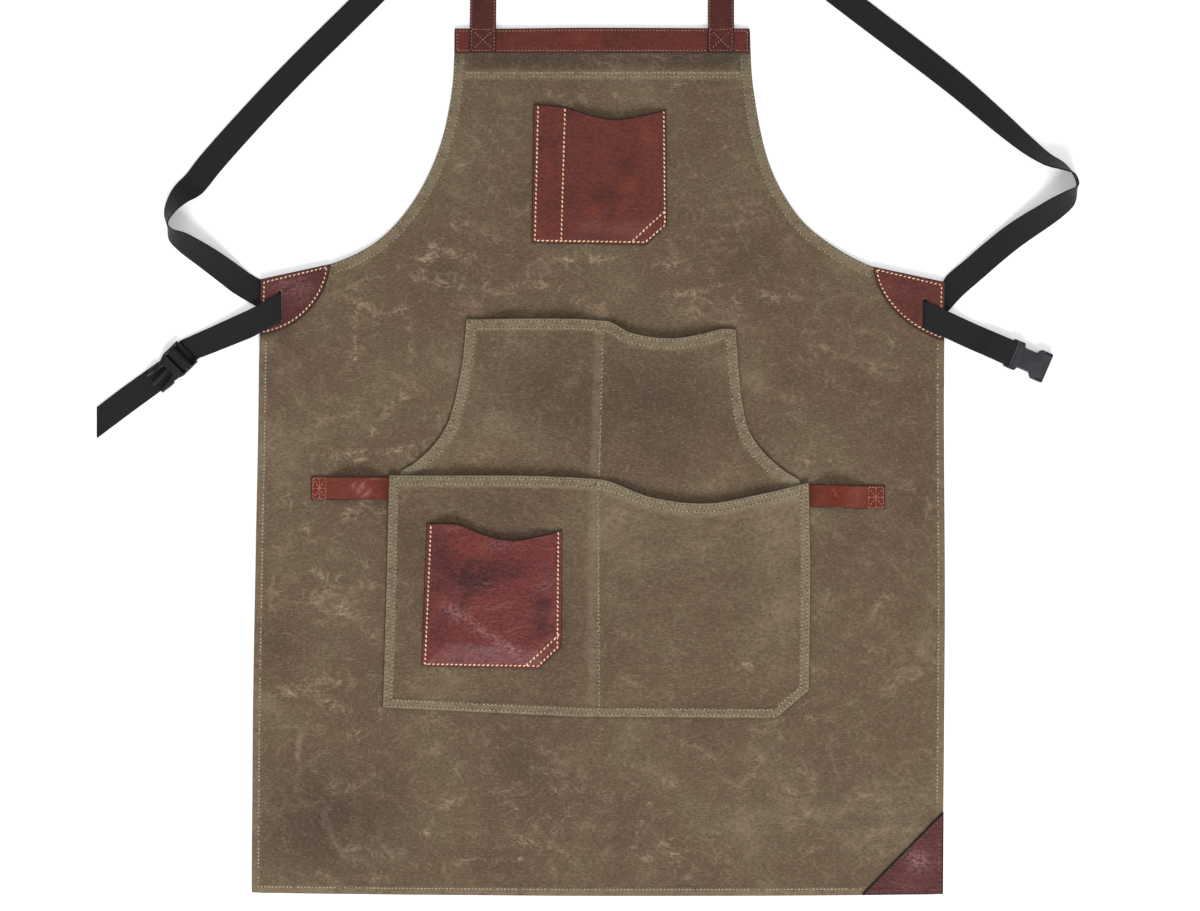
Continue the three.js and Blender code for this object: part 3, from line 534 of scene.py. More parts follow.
# %% The floor's plain white
FLOOR_GLOW = 0.25
floor_white, tree, shader = new_material(
    "floor_white", Roughness=0.9, Specular_IOR_Level=0.1,
    Emission_Color=colour("ffffff"), Emission_Strength=FLOOR_GLOW)
pale = mixed(tree, noise(tree, object_place(tree), 3.0), colour("f4f4f4"), colour("f8f8f8"))
tree.links.new(pale, shader.inputs["Base Color"])
floor_mesh.materials.append(floor_white)
print("materials:", [m.name for m in bpy.data.materials])

# %% [markdown]
# ## The apron's body
# One cut of canvas makes the bib and skirt. Its edges are smooth lines measured in the photo: an armhole
# from the band to the underarm corner, then a nearly straight side. A grid row joins the same distance down
# the left and right edge, so the rows fan with the armholes and the side columns follow the hems exactly.
# At the underarm corner the rows are slid along the edge so that the hem is mitred there. The cloth lies in
# very shallow waves, which every piece on it shares, and the hems are a little thicker.

# %% Edges of the cut, and how the cloth lies
CANVAS = 1.2
LEATHER = 1.8
GAP = 0.3
BIB_TOP = 441
UNDERARM_LEFT = (-337.3, 194)
UNDERARM_RIGHT = (342.8, 191.2)
PATCH_TIP_LEFT = (-268.2, 209.1)
PATCH_TIP_RIGHT = (271.6, 206.5)
HEM_CORNER = (340.6, -417.2)
ARMHOLE_LEFT = [
    (-144.8, BIB_TOP), (-147, 384), (-159.7, 325), (-184, 274), (-220, 233.3), PATCH_TIP_LEFT, UNDERARM_LEFT]
ARMHOLE_RIGHT = [
    (149.3, BIB_TOP), (152.5, 384), (166.2, 315), (189, 268), (219, 236.3), PATCH_TIP_RIGHT, UNDERARM_RIGHT]
SIDE_LEFT = [UNDERARM_LEFT, (-340.3, 24.4), (-344.8, -224.4), (-346.3, -415.4)]
SIDE_RIGHT = [UNDERARM_RIGHT, (342, 74.1), (342.9, -144.8), HEM_CORNER]
CORNER_LIFT = 2.2
# length and direction of each wave in the cloth, its shift and its height
WAVES = [(210, 20, 0.4, 0.5), (150, 100, 2.0, 0.45), (95, 55, 4.1, 0.3), (120, 140, 1.1, 0.35)]


def corner_distance(x, y):
    """Distance to the nearer underarm corner."""
    return np.minimum(np.hypot(x - UNDERARM_LEFT[0], y - UNDERARM_LEFT[1]),
                      np.hypot(x - UNDERARM_RIGHT[0], y - UNDERARM_RIGHT[1]))


def lie(x, y):
    """Height of the cloth's back: lifted on the webbing at the underarm corners, and slow waves elsewhere.

    Each wave is its height times 1 + sin of the way along its direction, halved. The waves fade out under
    the band and at the corners.
    """
    near = corner_distance(x, y)
    fade = smooth_step(near, 100, 190) * (1 - smooth_step(y, 360, 415))
    waves = 0
    for length, turn, shift, height in WAVES:
        way = x * np.cos(np.radians(turn)) + y * np.sin(np.radians(turn))
        waves = waves + height * (1 + np.sin(2 * np.pi * way / length + shift)) / 2
    return CORNER_LIFT * (1 - smooth_step(near, 84, 150)) + fade * waves


print("cloth height at the middle of the skirt:", round(float(lie(0.0, -300.0)), 2), "mm")

# %% Rows down the two edges, with a mitred hem at the underarm
HEM_OFFSETS = np.array([0, 0.4, 1.1, 2, 3.2, 4.6, 5.8, 7, 8.2, 9.4, 10.6, 11.8])
HEM_DEEP = HEM_OFFSETS[-1]
MITRE_REACH = 45
ARMHOLE_ROWS = 96
SIDE_ROWS = 138
SLOT_SPANS = {"left": (-319.9, -316.2, 152.4, 184.6), "right": (320.4, 324.1, 145.6, 176.2)}


def edge_rows(line, distances, inward, away, mitre):
    """Points of an edge, and the way into the cloth: its normal, slid along it by the mitre near the corner.

    away is +1 where the line starts at the underarm corner and -1 where it ends there.
    """
    run = run_lengths(line)
    point = points_along(line, distances)
    tangent = np.stack([np.interp(distances, run, c) for c in directions(line).T], axis=1)
    normal = inward * np.stack([tangent[:, 1], -tangent[:, 0]], axis=1)
    from_corner = distances if away > 0 else run[-1] - distances
    slide = mitre * np.maximum(0, 1 - from_corner / MITRE_REACH)
    return point, normal + away * slide[:, None] * tangent


def mitre_of(armhole, side):
    """How far a hem slides along the edge for each millimetre of depth: the cotangent of half the corner."""
    cosine = np.dot(-directions(armhole)[-1], directions(side)[0])
    return 1 / np.tan(np.arccos(cosine) / 2)


def body_edge(armhole_rows, side_rows, inward, slots):
    """One edge of the apron from the band to the hem, as points and ways into the cloth, row by row."""
    armhole, side = spline(armhole_rows), spline(side_rows)
    mitre = mitre_of(armhole, side)
    armhole_at = np.linspace(0, run_lengths(armhole)[-1], ARMHOLE_ROWS)[:-1]
    length = run_lengths(side)[-1]
    foot = length - HEM_OFFSETS[::-1]
    even = np.linspace(0, foot[0], SIDE_ROWS)[:-1]
    # rows that end the slots are put exactly where the mitred hem brings them to the slot's height
    wanted = side[0, 1] - np.array(slots)
    reach = even + HEM_DEEP * mitre * np.maximum(0, 1 - even / MITRE_REACH)
    even[np.abs(reach[:, None] - wanted).argmin(axis=0)] = np.interp(wanted, reach, even)
    rows = [edge_rows(armhole, armhole_at, inward, -1, mitre),
            edge_rows(side, np.concatenate([even, foot]), inward, 1, mitre)]
    to_hem = np.concatenate([np.full(len(armhole_at), length), length - even, HEM_OFFSETS[::-1]])
    return [np.concatenate(pair) for pair in zip(*rows)], to_hem, len(armhole_at)


(left_edge, left_in), row_to_hem, corner_row = body_edge(ARMHOLE_LEFT, SIDE_LEFT, -1, SLOT_SPANS["left"][2:])
(right_edge, right_in), _, _ = body_edge(ARMHOLE_RIGHT, SIDE_RIGHT, 1, SLOT_SPANS["right"][2:])
print("rows down the apron:", len(left_edge), "with the underarm at row", corner_row)

# %% The body's grid
INNER_COLUMNS = 128
HEM_BOW = 2.8
HEM_RISE = 0.8
ROWS_TO_SLOT = 8
CLEAR_OF_SLOT = 0.003
FAR_FROM_SIDE = 50.0
slot_row = corner_row + ROWS_TO_SLOT
inner_left = (left_edge + HEM_DEEP * left_in)[slot_row, 0]
inner_right = (right_edge + HEM_DEEP * right_in)[slot_row, 0]
slot_edges = np.array([x for span in SLOT_SPANS.values() for x in span[:2]])
slot_shares = (slot_edges - inner_left) / (inner_right - inner_left)
share = np.linspace(0, 1, INNER_COLUMNS)
share = share[np.abs(share[:, None] - slot_shares).min(axis=1) > CLEAR_OF_SLOT]
share = np.sort(np.concatenate([share, slot_shares]))[1:-1]


def body_grid():
    """Points of the cut: hem columns go straight in from each edge, and the rest share out the row."""
    left = left_edge[:, None] + HEM_OFFSETS[:, None] * left_in[:, None]
    right = right_edge[:, None] + HEM_OFFSETS[::-1, None] * right_in[:, None]
    inner = left[:, -1:] * (1 - share[:, None]) + right[:, :1] * share[:, None]
    grid = np.concatenate([left, inner, right], axis=1)
    across = np.linspace(0, 1, grid.shape[1])
    bow = smooth_step(-row_to_hem, -60, 0)[:, None] * np.sin(np.pi * across)
    grid[:, :, 1] -= HEM_BOW * bow
    return grid[::-1]


grid = body_grid()
X, Y = grid[:, :, 0], grid[:, :, 1]
columns_in = np.concatenate([HEM_OFFSETS, np.full(len(share), FAR_FROM_SIDE), HEM_OFFSETS[::-1]])
to_side = np.broadcast_to(columns_in, X.shape)
to_hem = np.broadcast_to(row_to_hem[::-1, None], X.shape)
on_armhole = np.broadcast_to((np.arange(len(row_to_hem)) <= corner_row)[::-1, None], X.shape)
print("grid of the body:", X.shape)

# %% [markdown]
# Wax wears pale where the cloth is folded and rubbed, so the marks are as much a part of this apron as its
# seams. Each is a soft stroke with a centre, half length, half width, turn and strength, and a negative
# strength is a darker, cleaner patch. Their sum is stored on the mesh, and the material frays it.

# %% Wear marks of the body
def worn_by(marks, x, y):
    """Sum of soft strokes: strength * exp(-(along / half length)^2 - (across / half width)^2)."""
    total = 0.0 * x
    for mark_x, mark_y, half, wide, turn, strength in marks:
        cosine, sine = np.cos(np.radians(turn)), np.sin(np.radians(turn))
        along = ((x - mark_x) * cosine + (y - mark_y) * sine) / half
        across = ((y - mark_y) * cosine - (x - mark_x) * sine) / wide
        total = total + strength * np.exp(-along ** 2 - across ** 2)
    return total


BODY_WEAR = [
    (-119, 383, 10, 4, 40, 0.35), (-42, 373, 25, 6, -20, 0.35), (21, 373, 14, 6, 0, 0.45),
    (117, 366, 14, 4, -40, 0.4), (8, 388, 22, 4, 0, 0.3), (82, 388, 30, 5, 0, 0.25),
    (-109, 339, 12, 5, -50, 0.4), (-93, 320, 15, 5, 40, 0.35), (-128, 293, 10, 3.5, 20, 0.5),
    (-82, 278, 6, 6, 0, 0.4), (99, 309, 14, 3, 65, 0.4), (123, 328, 16, 5, -40, 0.35),
    (119, 288, 26, 6, -15, 0.35), (140, 265, 18, 8, -20, 0.35), (82, 259, 10, 5, 0, 0.3),
    (121, 248, 45, 3, -3, 0.4), (-147, 248, 20, 4, 0, 0.45), (-138, 219, 30, 7, 0, 0.5),
    (-132, 192, 22, 11.9, 0, 0.4), (-76, 234, 40, 5, 0, 0.35), (-4, 215, 40, 6, -3, 0.5),
    (-42, 213, 25, 5, 0, 0.4), (71, 213, 14, 7, 20, 0.45), (76, 202, 14, 6, 0, 0.4),
    (102, 234, 50, 4, 0, 0.35), (92, 182, 40, 6, 8, 0.45), (144, 174, 30, 8, 5, 0.4),
    (-25, 173, 22, 6, -25, 0.45), (-90, 178, 14, 9.9, 0, 0.4), (8, 171, 20, 6, 40, 0.35),
    (-59, 188, 25, 6, 0, 0.35), (-237, 188, 40, 5, 25, 0.3), (-175, 207, 18, 5, 70, 0.5),
    (-163, 224, 30, 8, 15, 0.4), (-170, 193, 25, 7, -10, 0.35), (-213, 161, 35, 6, 5, 0.45),
    (-242, 169, 12, 8, 0, 0.4), (-199, 173, 12, 3, 75, 0.4), (-245, 115, 14, 7, 60, 0.6),
    (-245, 91, 8, 5, 0, 0.5), (-245, 132, 18, 3, 88, 0.4), (-225, 142, 10, 5, 70, 0.35),
    (-189, 143, 6, 5, 0, 0.5), (-188, 127, 6, 5, 0, 0.4), (-300, 108, 5, 5, 0, 0.4),
    (-304, 74, 12, 5, 75, 0.4), (-266, 78, 7, 5, 0, 0.4), (-237, 77, 10, 3, 80, 0.4),
    (-194, 77, 8, 5, 0, 0.45), (-213, 64, 7, 5, 0, 0.45), (-281, 50, 14, 6, 20, 0.65),
    (-250, 60, 25, 3, 20, 0.4), (-225, 43, 14, 5, 40, 0.5), (-155, 55, 12, 4, -30, 0.4),
    (-247, 21, 70, 4, 3, 0.5), (-192, 28, 18, 4, 20, 0.5), (-247, 14, 25, 5, 0, 0.45),
    (-326, 26, 8, 8, 0, 0.4), (-247, -37, 22, 9, 35, 0.55), (-312, -22, 14, 5, 35, 0.5),
    (-307, -30, 16, 4, 10, 0.4), (-291, -56, 10, 5, -60, 0.5), (-307, -58, 14, 3, 5, 0.4),
    (-218, -37, 8, 5, 0, 0.4), (-242, -61, 14, 3, 45, 0.35), (-286, -100, 25, 5, 5, 0.4),
    (-319, -107, 10, 6, 0, 0.5), (-259, -102, 20, 4, 10, 0.4), (-276, -119, 16, 7, 15, 0.55),
    (-317, -126, 14, 4, -40, 0.4), (-233, -90, 10, 3, 75, 0.35), (-257, -136, 25, 7, -10, 0.45),
    (218, 152, 12, 5, 85, 0.5), (240, 137, 8, 5, 0, 0.5), (209, 142, 18, 4, 0, 0.35),
    (284, 130, 12, 6, 0, 0.4), (297, 95, 12, 4, 0, 0.5), (197, 95, 12, 4, 0, 0.3),
    (199, 14, 12, 6, 70, 0.5), (221, 14, 40, 3, 0, 0.35), (163, 48, 10, 5, 40, 0.3),
    (241, 49, 12, 6, 0, 0.3), (265, 23, 12, 4, 0, 0.3), (260, -46, 20, 4, -25, 0.3),
    (298, -58, 14, 4, 0, 0.35), (322, -41, 12, 3, -50, 0.4), (255, -111, 22, 4, 45, 0.4),
    (274, -131, 20, 4, 45, 0.4), (183, 178, 20, 8, 0, 0.3), (-275, -207, 40, 5, 5, 0.6),
    (-271, -200, 20, 4, 20, 0.5), (-260, -233, 14, 6, -35, 0.75), (-282, -222, 30, 6, -15, 0.5),
    (-304, -251, 45, 3, 3, 0.5), (-315, -220, 20, 4, 10, 0.4), (-217, -236, 14, 5, -20, 0.7),
    (-271, -258, 40, 3, 2, 0.35), (-237, -254, 20, 3, 25, 0.4), (-242, -141, 18, 4, -10, 0.4),
    (-228, -158, 10, 3, -10, 0.5), (-202, -254, 22, 3, -35, 0.45), (-173, -269, 18, 3, -40, 0.6),
    (-177, -240, 20, 6, 0, 0.5), (-148, -246, 12, 4, 0, 0.4), (-237, -267, 16, 3, -30, 0.4),
    (-237, -298, 16, 7, 85, 0.55), (-243, -338, 28, 5, 88, 0.45), (-181, -280, 12, 4, 60, 0.35),
    (-179, -305, 14, 5, 60, 0.45), (-174, -325, 8, 5, 0, 0.5), (-173, -356, 10, 6, 0, 0.5),
    (-172, -364, 40, 4, 90, 0.35), (-306, -305, 6, 4, -50, 0.8), (-319, -296, 8, 3, 20, 0.4),
    (-226, -318, 22, 3, -15, 0.45), (-144, -296, 14, 5, -40, 0.45), (-142, -311, 14, 4, -30, 0.5),
    (-98, -305, 16, 3, 45, 0.4), (-42, -298, 20, 4, -15, 0.6), (-71, -287, 20, 3, -25, 0.35),
    (-44, -315, 10, 4, 0, 0.5), (-87, -315, 25, 4, 0, 0.45), (-84, -336, 26, 4, -38, 0.6),
    (-29, -338, 14, 3, -70, 0.5), (-46, -357, 10, 4, 0, 0.5), (-40, -372, 22, 4, -35, 0.6),
    (-73, -365, 20, 5, -20, 0.4), (-91, -352, 14, 4, -50, 0.4), (-93, -383, 40, 4, 3, 0.5),
    (-144, -389, 14, 5, 20, 0.5), (-206, -389, 20, 3, 0, 0.4), (-222, -400, 12, 3, 0, 0.45),
    (-273, -365, 12, 3, -30, 0.35), (-171, -389, 10, 5, 0, 0.4), (29, -319, 14, 8, 60, 0.55),
    (47, -335, 18, 4, 60, 0.4), (147, -303, 18, 7, 20, 0.55), (131, -328, 26, 3, 15, 0.45),
    (170, -316, 10, 4, 0, 0.45), (205, -319, 26, 3, 88, 0.4), (68, -336, 12, 3, 0, 0.4),
    (65, -365, 18, 4, 35, 0.5), (75, -379, 14, 7, 0, 0.6), (49, -380, 10, 6, 0, 0.55),
    (36, -365, 16, 4, 60, 0.4), (113, -358, 16, 3, 5, 0.4), (184, -353, 16, 4, 30, 0.4),
    (205, -349, 14, 4, -35, 0.5), (209, -373, 14, 6, 0, 0.5), (152, -372, 12, 5, 0, 0.4),
    (228, -360, 25, 3, 5, 0.4), (239, -369, 12, 3, -40, 0.35), (262, -357, 25, 3, 5, 0.35),
    (161, -250, 8, 8, 0, 0.45), (196, -271, 8, 4, 0, 0.35), (177, -257, 10, 4, -45, 0.4),
    (219, -241, 50, 4, 2, 0.4), (280, -262, 10, 5, 0, 0.35), (276, -134, 16, 5, 45, 0.4),
    (0, 411, 398, 8.5, 0, -0.95), (-275, -345, 85, 60, 0, -0.75), (265, -330, 95, 60, 0, -0.3),
    (-313, 74, 40, 24.9, 0, -0.2), (40, 258, 60, 9, 0, -0.25), (279, 44, 60, 39.8, 0, -0.2),
]
body_wear = worn_by(BODY_WEAR, X, Y)
print(len(BODY_WEAR), "marks, deepest", round(body_wear.max(), 2))

# %% Hems, seams and the finished body
FACING = (395.5, 418.4)
ARM_HEM, SIDE_HEM, FOOT_HEM = 11.2, 8.6, 9.0
HEM_STEP = 1.6
ARM_SEAMS = (2.0, 9.6)
SIDE_SEAM = 6.6
EDGE_ROUND = 0.7
SLOT_MARGIN = 0.8
# where leather covers the canvas: reach of a side patch, distance from the hem's corner, height of the band
SIDE_PATCH_REACH = (74, 58.5)
CORNER_REACH = (79, 85)
BAND_REACH = (416.5, 418.5)
# how pale the wax has worn on each hem
PALE_ARM, PALE_SIDE, PALE_FOOT, PALE_FACING = 0.38, 0.24, 0.4, 0.4


def bare_of_leather(x, y):
    """1 where canvas shows and 0 under the band, the side patches and the corner patch."""
    wide, tall = SIDE_PATCH_REACH
    corner = smooth_step(HEM_CORNER[0] - x + y - HEM_CORNER[1], *CORNER_REACH)
    sides = [np.hypot((x - u) / wide, (y - v) / tall) for u, v in (UNDERARM_LEFT, UNDERARM_RIGHT)]
    return corner * smooth_step(np.minimum(*sides), 0.98, 1.05) * (1 - smooth_step(y, *BAND_REACH))


def rounded_drop(distance, radius):
    """How far a rounded edge falls below flat, at a distance from the edge: a quarter circle."""
    inside = np.clip(1 - distance / radius, 0, 1)
    return radius * (1 - np.sqrt(1 - inside ** 2))


def sewn_dent(distance, depth=0.3, width=0.9):
    """The dip along a line of stitches: a bell curve of the distance from the line."""
    return depth * np.exp(-(distance / width) ** 2)


bare = bare_of_leather(X, Y)
hem_width = np.where(on_armhole, ARM_HEM, SIDE_HEM)
side_hem = 1 - smooth_step(to_side, hem_width - HEM_STEP, hem_width)
foot_hem = 1 - smooth_step(to_hem, FOOT_HEM - HEM_STEP, FOOT_HEM)
facing = smooth_step(Y, FACING[0] - 2, FACING[0] + 1) * (1 - smooth_step(Y, 416, FACING[1]))
hem = np.maximum(np.maximum(side_hem, foot_hem), facing) * bare
arm_dents = sum(sewn_dent(to_side - depth) for depth in ARM_SEAMS)
dents = np.where(on_armhole, arm_dents, sewn_dent(to_side - SIDE_SEAM))
dents = np.maximum(dents, sewn_dent(to_hem - SIDE_SEAM))
edge_drop = rounded_drop(np.minimum(to_side, to_hem), EDGE_ROUND)
back_height = lie(X, Y)
front_height = back_height + CANVAS + HEM_RISE * hem - dents * bare - edge_drop
cloth = np.ones((X.shape[0] - 1, X.shape[1] - 1), bool)
for span in SLOT_SPANS.values():
    cloth &= ~in_hole(X, Y, span, SLOT_MARGIN)
front = np.dstack([X, Y, front_height])
back = np.dstack([X, Y, back_height + edge_drop / 2])
apron_body = new_mesh("apron_body", *closed_sheet(front, back, cloth))
pale_facing = smooth_step(Y, 392, 394.5) * (1 - smooth_step(Y, 400, 403)) * bare
pale_sides = side_hem * np.where(on_armhole, PALE_ARM, PALE_SIDE)
pale = np.maximum(pale_sides, foot_hem * PALE_FOOT) * bare
sheet_values(apron_body, "hem", np.maximum(pale, PALE_FACING * pale_facing))
sheet_values(apron_body, "wear_and_sheen", body_wear)
finish_piece(apron_body, body_canvas, "waxed_canvas", "apron_body")
print("slot quads left open:", int((~cloth).sum()))

# %% [markdown]
# ## Pockets
# A pocket is a panel between four edge lines, sewn down at its sides and foot and standing a few
# millimetres off the apron between the seams, so that its mouth is open. The same small formula serves all
# four: a grid of shares across and up is bent to the edge lines, the back's height is a plateau between
# seams, and the front adds the wall, the turned hem, the dip along each row of stitches and a rounded edge.
# The front's height is a function of place, so stitches can be set on it later.

# %% Distances from seams and edges
def seam_distance(x, y, lines):
    """Distance to the nearest of some seam lines: for each straight stretch, to its nearest point."""
    nearest = np.full(np.shape(x), 1e6)
    for line in lines:
        for (px, py), (qx, qy) in zip(line[:-1], line[1:]):
            dx, dy = qx - px, qy - py
            t = np.clip(((x - px) * dx + (y - py) * dy) / (dx * dx + dy * dy), 0, 1)
            nearest = np.minimum(nearest, np.hypot(x - px - t * dx, y - py - t * dy))
    return nearest


def edge_gap(curve, rows, at, value, sign):
    """Distance from an edge: the gap along one axis times the cosine of the edge's slope there."""
    slope = curve(rows, at + 0.5) - curve(rows, at - 0.5)
    return sign * (value - curve(rows, at)) / np.hypot(1, slope)


def edge_distances(panel, x, y):
    """Distances from the panel's left, right, top and bottom edges."""
    return [edge_gap(eased, panel["left"], y, x, 1), edge_gap(eased, panel["right"], y, x, -1),
            edge_gap(eased, panel["top"], x, y, -1), edge_gap(straight, panel["bottom"], x, y, 1)]


print("from (3, 4) to a seam that ends at (0, 0):", float(seam_distance(3.0, 4.0, [[(-9, 0), (0, 0)]])), "mm")

# %% A panel's grid and the height of its front
LEFT, RIGHT, TOP, FOOT = range(4)


def shares(length, offsets, step, marks=()):
    """Shares of a length from 0 to 1: close together at both ends, even between, and one at each mark."""
    count = max(2, int((length - 2 * offsets[-1]) / step))
    even = np.linspace(offsets[-1], length - offsets[-1], count)
    even = even[np.all(np.abs(even[:, None] - np.array([*marks, -1e3])) > step / 3, axis=1)]
    at = np.concatenate([offsets[:-1], even, np.array(marks), length - np.array(offsets[-2::-1])])
    return np.sort(at) / length


def panel_grid(panel, across, up):
    """Bends a grid of shares to the panel's edges: up from foot to mouth, then across from left to right."""
    bottom_x, top_x = [np.array([rows[0][0], rows[-1][0]]) for rows in (panel["bottom"], panel["top"])]
    foot = straight(panel["bottom"], bottom_x[0] + across * (bottom_x[1] - bottom_x[0]))
    mouth = eased(panel["top"], top_x[0] + across * (top_x[1] - top_x[0]))
    y = foot + up[:, None] * (mouth - foot)
    left, right = eased(panel["left"], y), eased(panel["right"], y)
    return left + across * (right - left), y


def plateau(value, low, high, ramp):
    """0 outside low and high, 1 over the middle, with a smooth ramp inside each end."""
    return smooth_step(value, low, low + ramp) * smooth_step(high - value, 0, ramp)


def panel_front(panel, x, y):
    """Height of a panel's front, its hem mask and the distance from its nearest edge."""
    gaps = edge_distances(panel, x, y)
    hem = np.zeros(np.shape(x))
    for side in panel["hems"]:
        width = panel["hem_width"] + (panel["deep_mouth"] if side == TOP else 0)
        hem = np.maximum(hem, 1 - smooth_step(gaps[side], width - HEM_STEP, width))
    nearest = np.min([np.maximum(gap, 0) for gap in gaps], axis=0)
    dent = sewn_dent(seam_distance(x, y, panel["seams"]), panel["dent"])
    height = panel["back"](x, y) + lie(x, y) + panel["thick"] + panel["hem_rise"] * hem
    if "relief" in panel:
        height = height + panel["relief"](x, y)
    return height - dent - rounded_drop(nearest, panel["round"]), hem, nearest


print("a plateau halfway up its ramp is", plateau(5.0, 0.0, 100.0, 10.0))

# %% Panel pieces, and seams set in from an edge
# distances from the edge at which the dark edge starts to fade and ends: burnishing on leather, and a painted
# shadow line on the canvas pockets
BURNISH_AND_SHADE_START, BURNISH_AND_SHADE_END = 0.3, 1.1
# where the dark band at a leather pocket's mouth starts to fade: its dyed edge and a painted shadow of the
# open mouth
MOUTH_DYE_AND_SHADE_START = 0.5
# how pale a hem is, how much more at its fold as a painted highlight, and how pale the strip beside a divider
# is
HEM_PALE, FOLD_HIGHLIGHT, STRIP_PALE = 0.46, 0.4, 0.3


def panel_piece(name, panel, step, offsets, material, slot):
    """A closed panel on its grid, with its hem and edge masks stored for its material.

    Grid columns and rows are put at the panel's marks and at the sides of its slot, which is left open.
    """
    start, end = panel["bottom"][0][0], panel["bottom"][-1][0]
    hole = panel.get("hole")
    marks = [x - start for x in panel.get("marks", ())]
    levels = []
    if hole:
        marks += [x - start for x in hole[:2]]
        middle = (hole[0] + hole[1]) / 2
        foot, mouth = straight(panel["bottom"], middle), eased(panel["top"], middle)
        levels = [(y - foot) / (mouth - foot) * panel["tall"] for y in hole[2:]]
    across = shares(end - start, offsets, step, marks)
    x, y = panel_grid(panel, across, shares(panel["tall"], offsets, step, levels))
    high, hem, nearest = panel_front(panel, x, y)
    low = panel["back"](x, y) + lie(x, y) + rounded_drop(nearest, panel["round"]) / 2
    kept = ~in_hole(x, y, hole) if hole else None
    piece = new_mesh(name, *closed_sheet(np.dstack([x, y, high]), np.dstack([x, y, low]), kept))
    # the edge mask: burnished cut edges on leather, and a painted shadow line round the canvas pockets
    edge = 1 - smooth_step(nearest, BURNISH_AND_SHADE_START, panel.get("painted", BURNISH_AND_SHADE_END))
    # at a leather pocket's mouth the mask widens into a painted shadow of the open mouth over the dyed edge
    if "mouth_dye_and_shade" in panel:
        mouth = np.maximum(edge_distances(panel, x, y)[TOP], 0)
        edge = np.maximum(edge, 1 - smooth_step(mouth, MOUTH_DYE_AND_SHADE_START, panel["mouth_dye_and_shade"]))
    sheet_values(piece, "wear_and_sheen", worn_by(panel["wear_and_sheen"], x, y))
    # the hem mask: pale worn wax on the hem, and a painted highlight along its fold
    rim = hem * (HEM_PALE + FOLD_HIGHLIGHT * (1 - smooth_step(nearest, 0.8, 2.4)))
    if "strip" in panel:
        beside = 1 - smooth_step(seam_distance(x, y, [panel["strip"]]), 2.5, 5.5)
        rim = np.maximum(rim, STRIP_PALE * beside)
    sheet_values(piece, "hem", rim)
    point_values(piece, "edge", np.concatenate([edge.ravel(), np.maximum(edge, 0.4).ravel()]))
    return finish_piece(piece, material, slot, name)


def inset(panel, side, depth, start, end, steps=48):
    """A seam line at a depth inside one edge, between two places along it."""
    curve = straight if side == FOOT else eased
    rows = panel[("left", "right", "top", "bottom")[side]]
    at = np.linspace(start, end, steps)
    slope = curve(rows, at + 0.5) - curve(rows, at - 0.5)
    sign = 1 if side in (LEFT, FOOT) else -1
    off = curve(rows, at) + sign * depth * np.hypot(1, slope)
    return np.stack([off, at] if side in (LEFT, RIGHT) else [at, off], axis=1)


print("sides of a panel:", {"left": LEFT, "right": RIGHT, "top": TOP, "foot": FOOT})

# %% Wear marks of the canvas pockets
POCKET_WEAR = [
    (-81, 122, 20, 6, 0, 0.3), (-103, 56, 10, 6, 0, 0.35), (-92, 25, 14, 8, 20, 0.45),
    (-64, 9, 25, 5, 0, 0.35), (-125, 17, 16, 8, 0, 0.35), (30, 9, 12, 9.9, 0, 0.4), (24, 28, 10, 4, 0, 0.3),
    (71, -10, 30, 4, 5, 0.35), (147, -187, 12, 8, 0, 0.5), (86, -176, 10, 4, 0, 0.4),
    (98, -218, 10, 3, 0, 0.4), (191, -153, 16, 3, 0, 0.5), (189, -159, 14, 4, 0, 0.4),
    (59, -155, 12, 6, -30, 0.35), (164, -216, 16, 5, 40, 0.4), (19, -160, 20, 6, 0, 0.3),
    (146, -88, 6, 6, 0, 0.35), (173, -46, 22, 5, -40, 0.35), (27, -49, 20, 6, -55, 0.35),
    (-37, -35, 10, 4, 80, 0.35), (-172, -196, 20, 6, 0, 0.35), (-197, -206, 10, 4, 0, 0.35),
    (-163, -226, 25, 4, 0, 0.3), (100, -85, 30, 8, 10, 0.2), (-15, -85, 6, 29.9, 0, 0.3),
    (-62, 79, 70, 62, 0, -0.5), (60, 75, 68, 60, 0, -0.6), (90, -125, 70, 49.8, 0, -0.12),
    (-129, -30, 60, 11.9, 0, -0.25),
]
print(len(POCKET_WEAR), "marks")

# %% Upper canvas pocket: two compartments, curved sides, its foot hidden behind the lower pocket
POCKET_RISE = 4.6
POCKET_RAMP = 26
UPPER_DIVIDER = 1.5
UPPER_SEAM = 11
UPPER_FOOT = 10
CANVAS_PANEL = {"thick": CANVAS, "hem_rise": 1.0, "round": 0.6, "dent": 0.28, "wear_and_sheen": POCKET_WEAR}


def upper_back(x, y):
    """Back of the upper pocket: off the apron between the side seams and the divider, down at the foot."""
    inner, outer = eased(upper["left"], y) + UPPER_SEAM, eased(upper["right"], y) - UPPER_SEAM
    both = plateau(x, inner, UPPER_DIVIDER, POCKET_RAMP) + plateau(x, UPPER_DIVIDER, outer, POCKET_RAMP)
    rise = smooth_step(y, UPPER_FOOT, UPPER_FOOT + 2 * POCKET_RAMP) * both
    ripple = 0.35 * rise * np.sin(x / 11 + y / 23) * np.sin(y / 17 - x / 40)
    return CANVAS + GAP + POCKET_RISE * rise + ripple


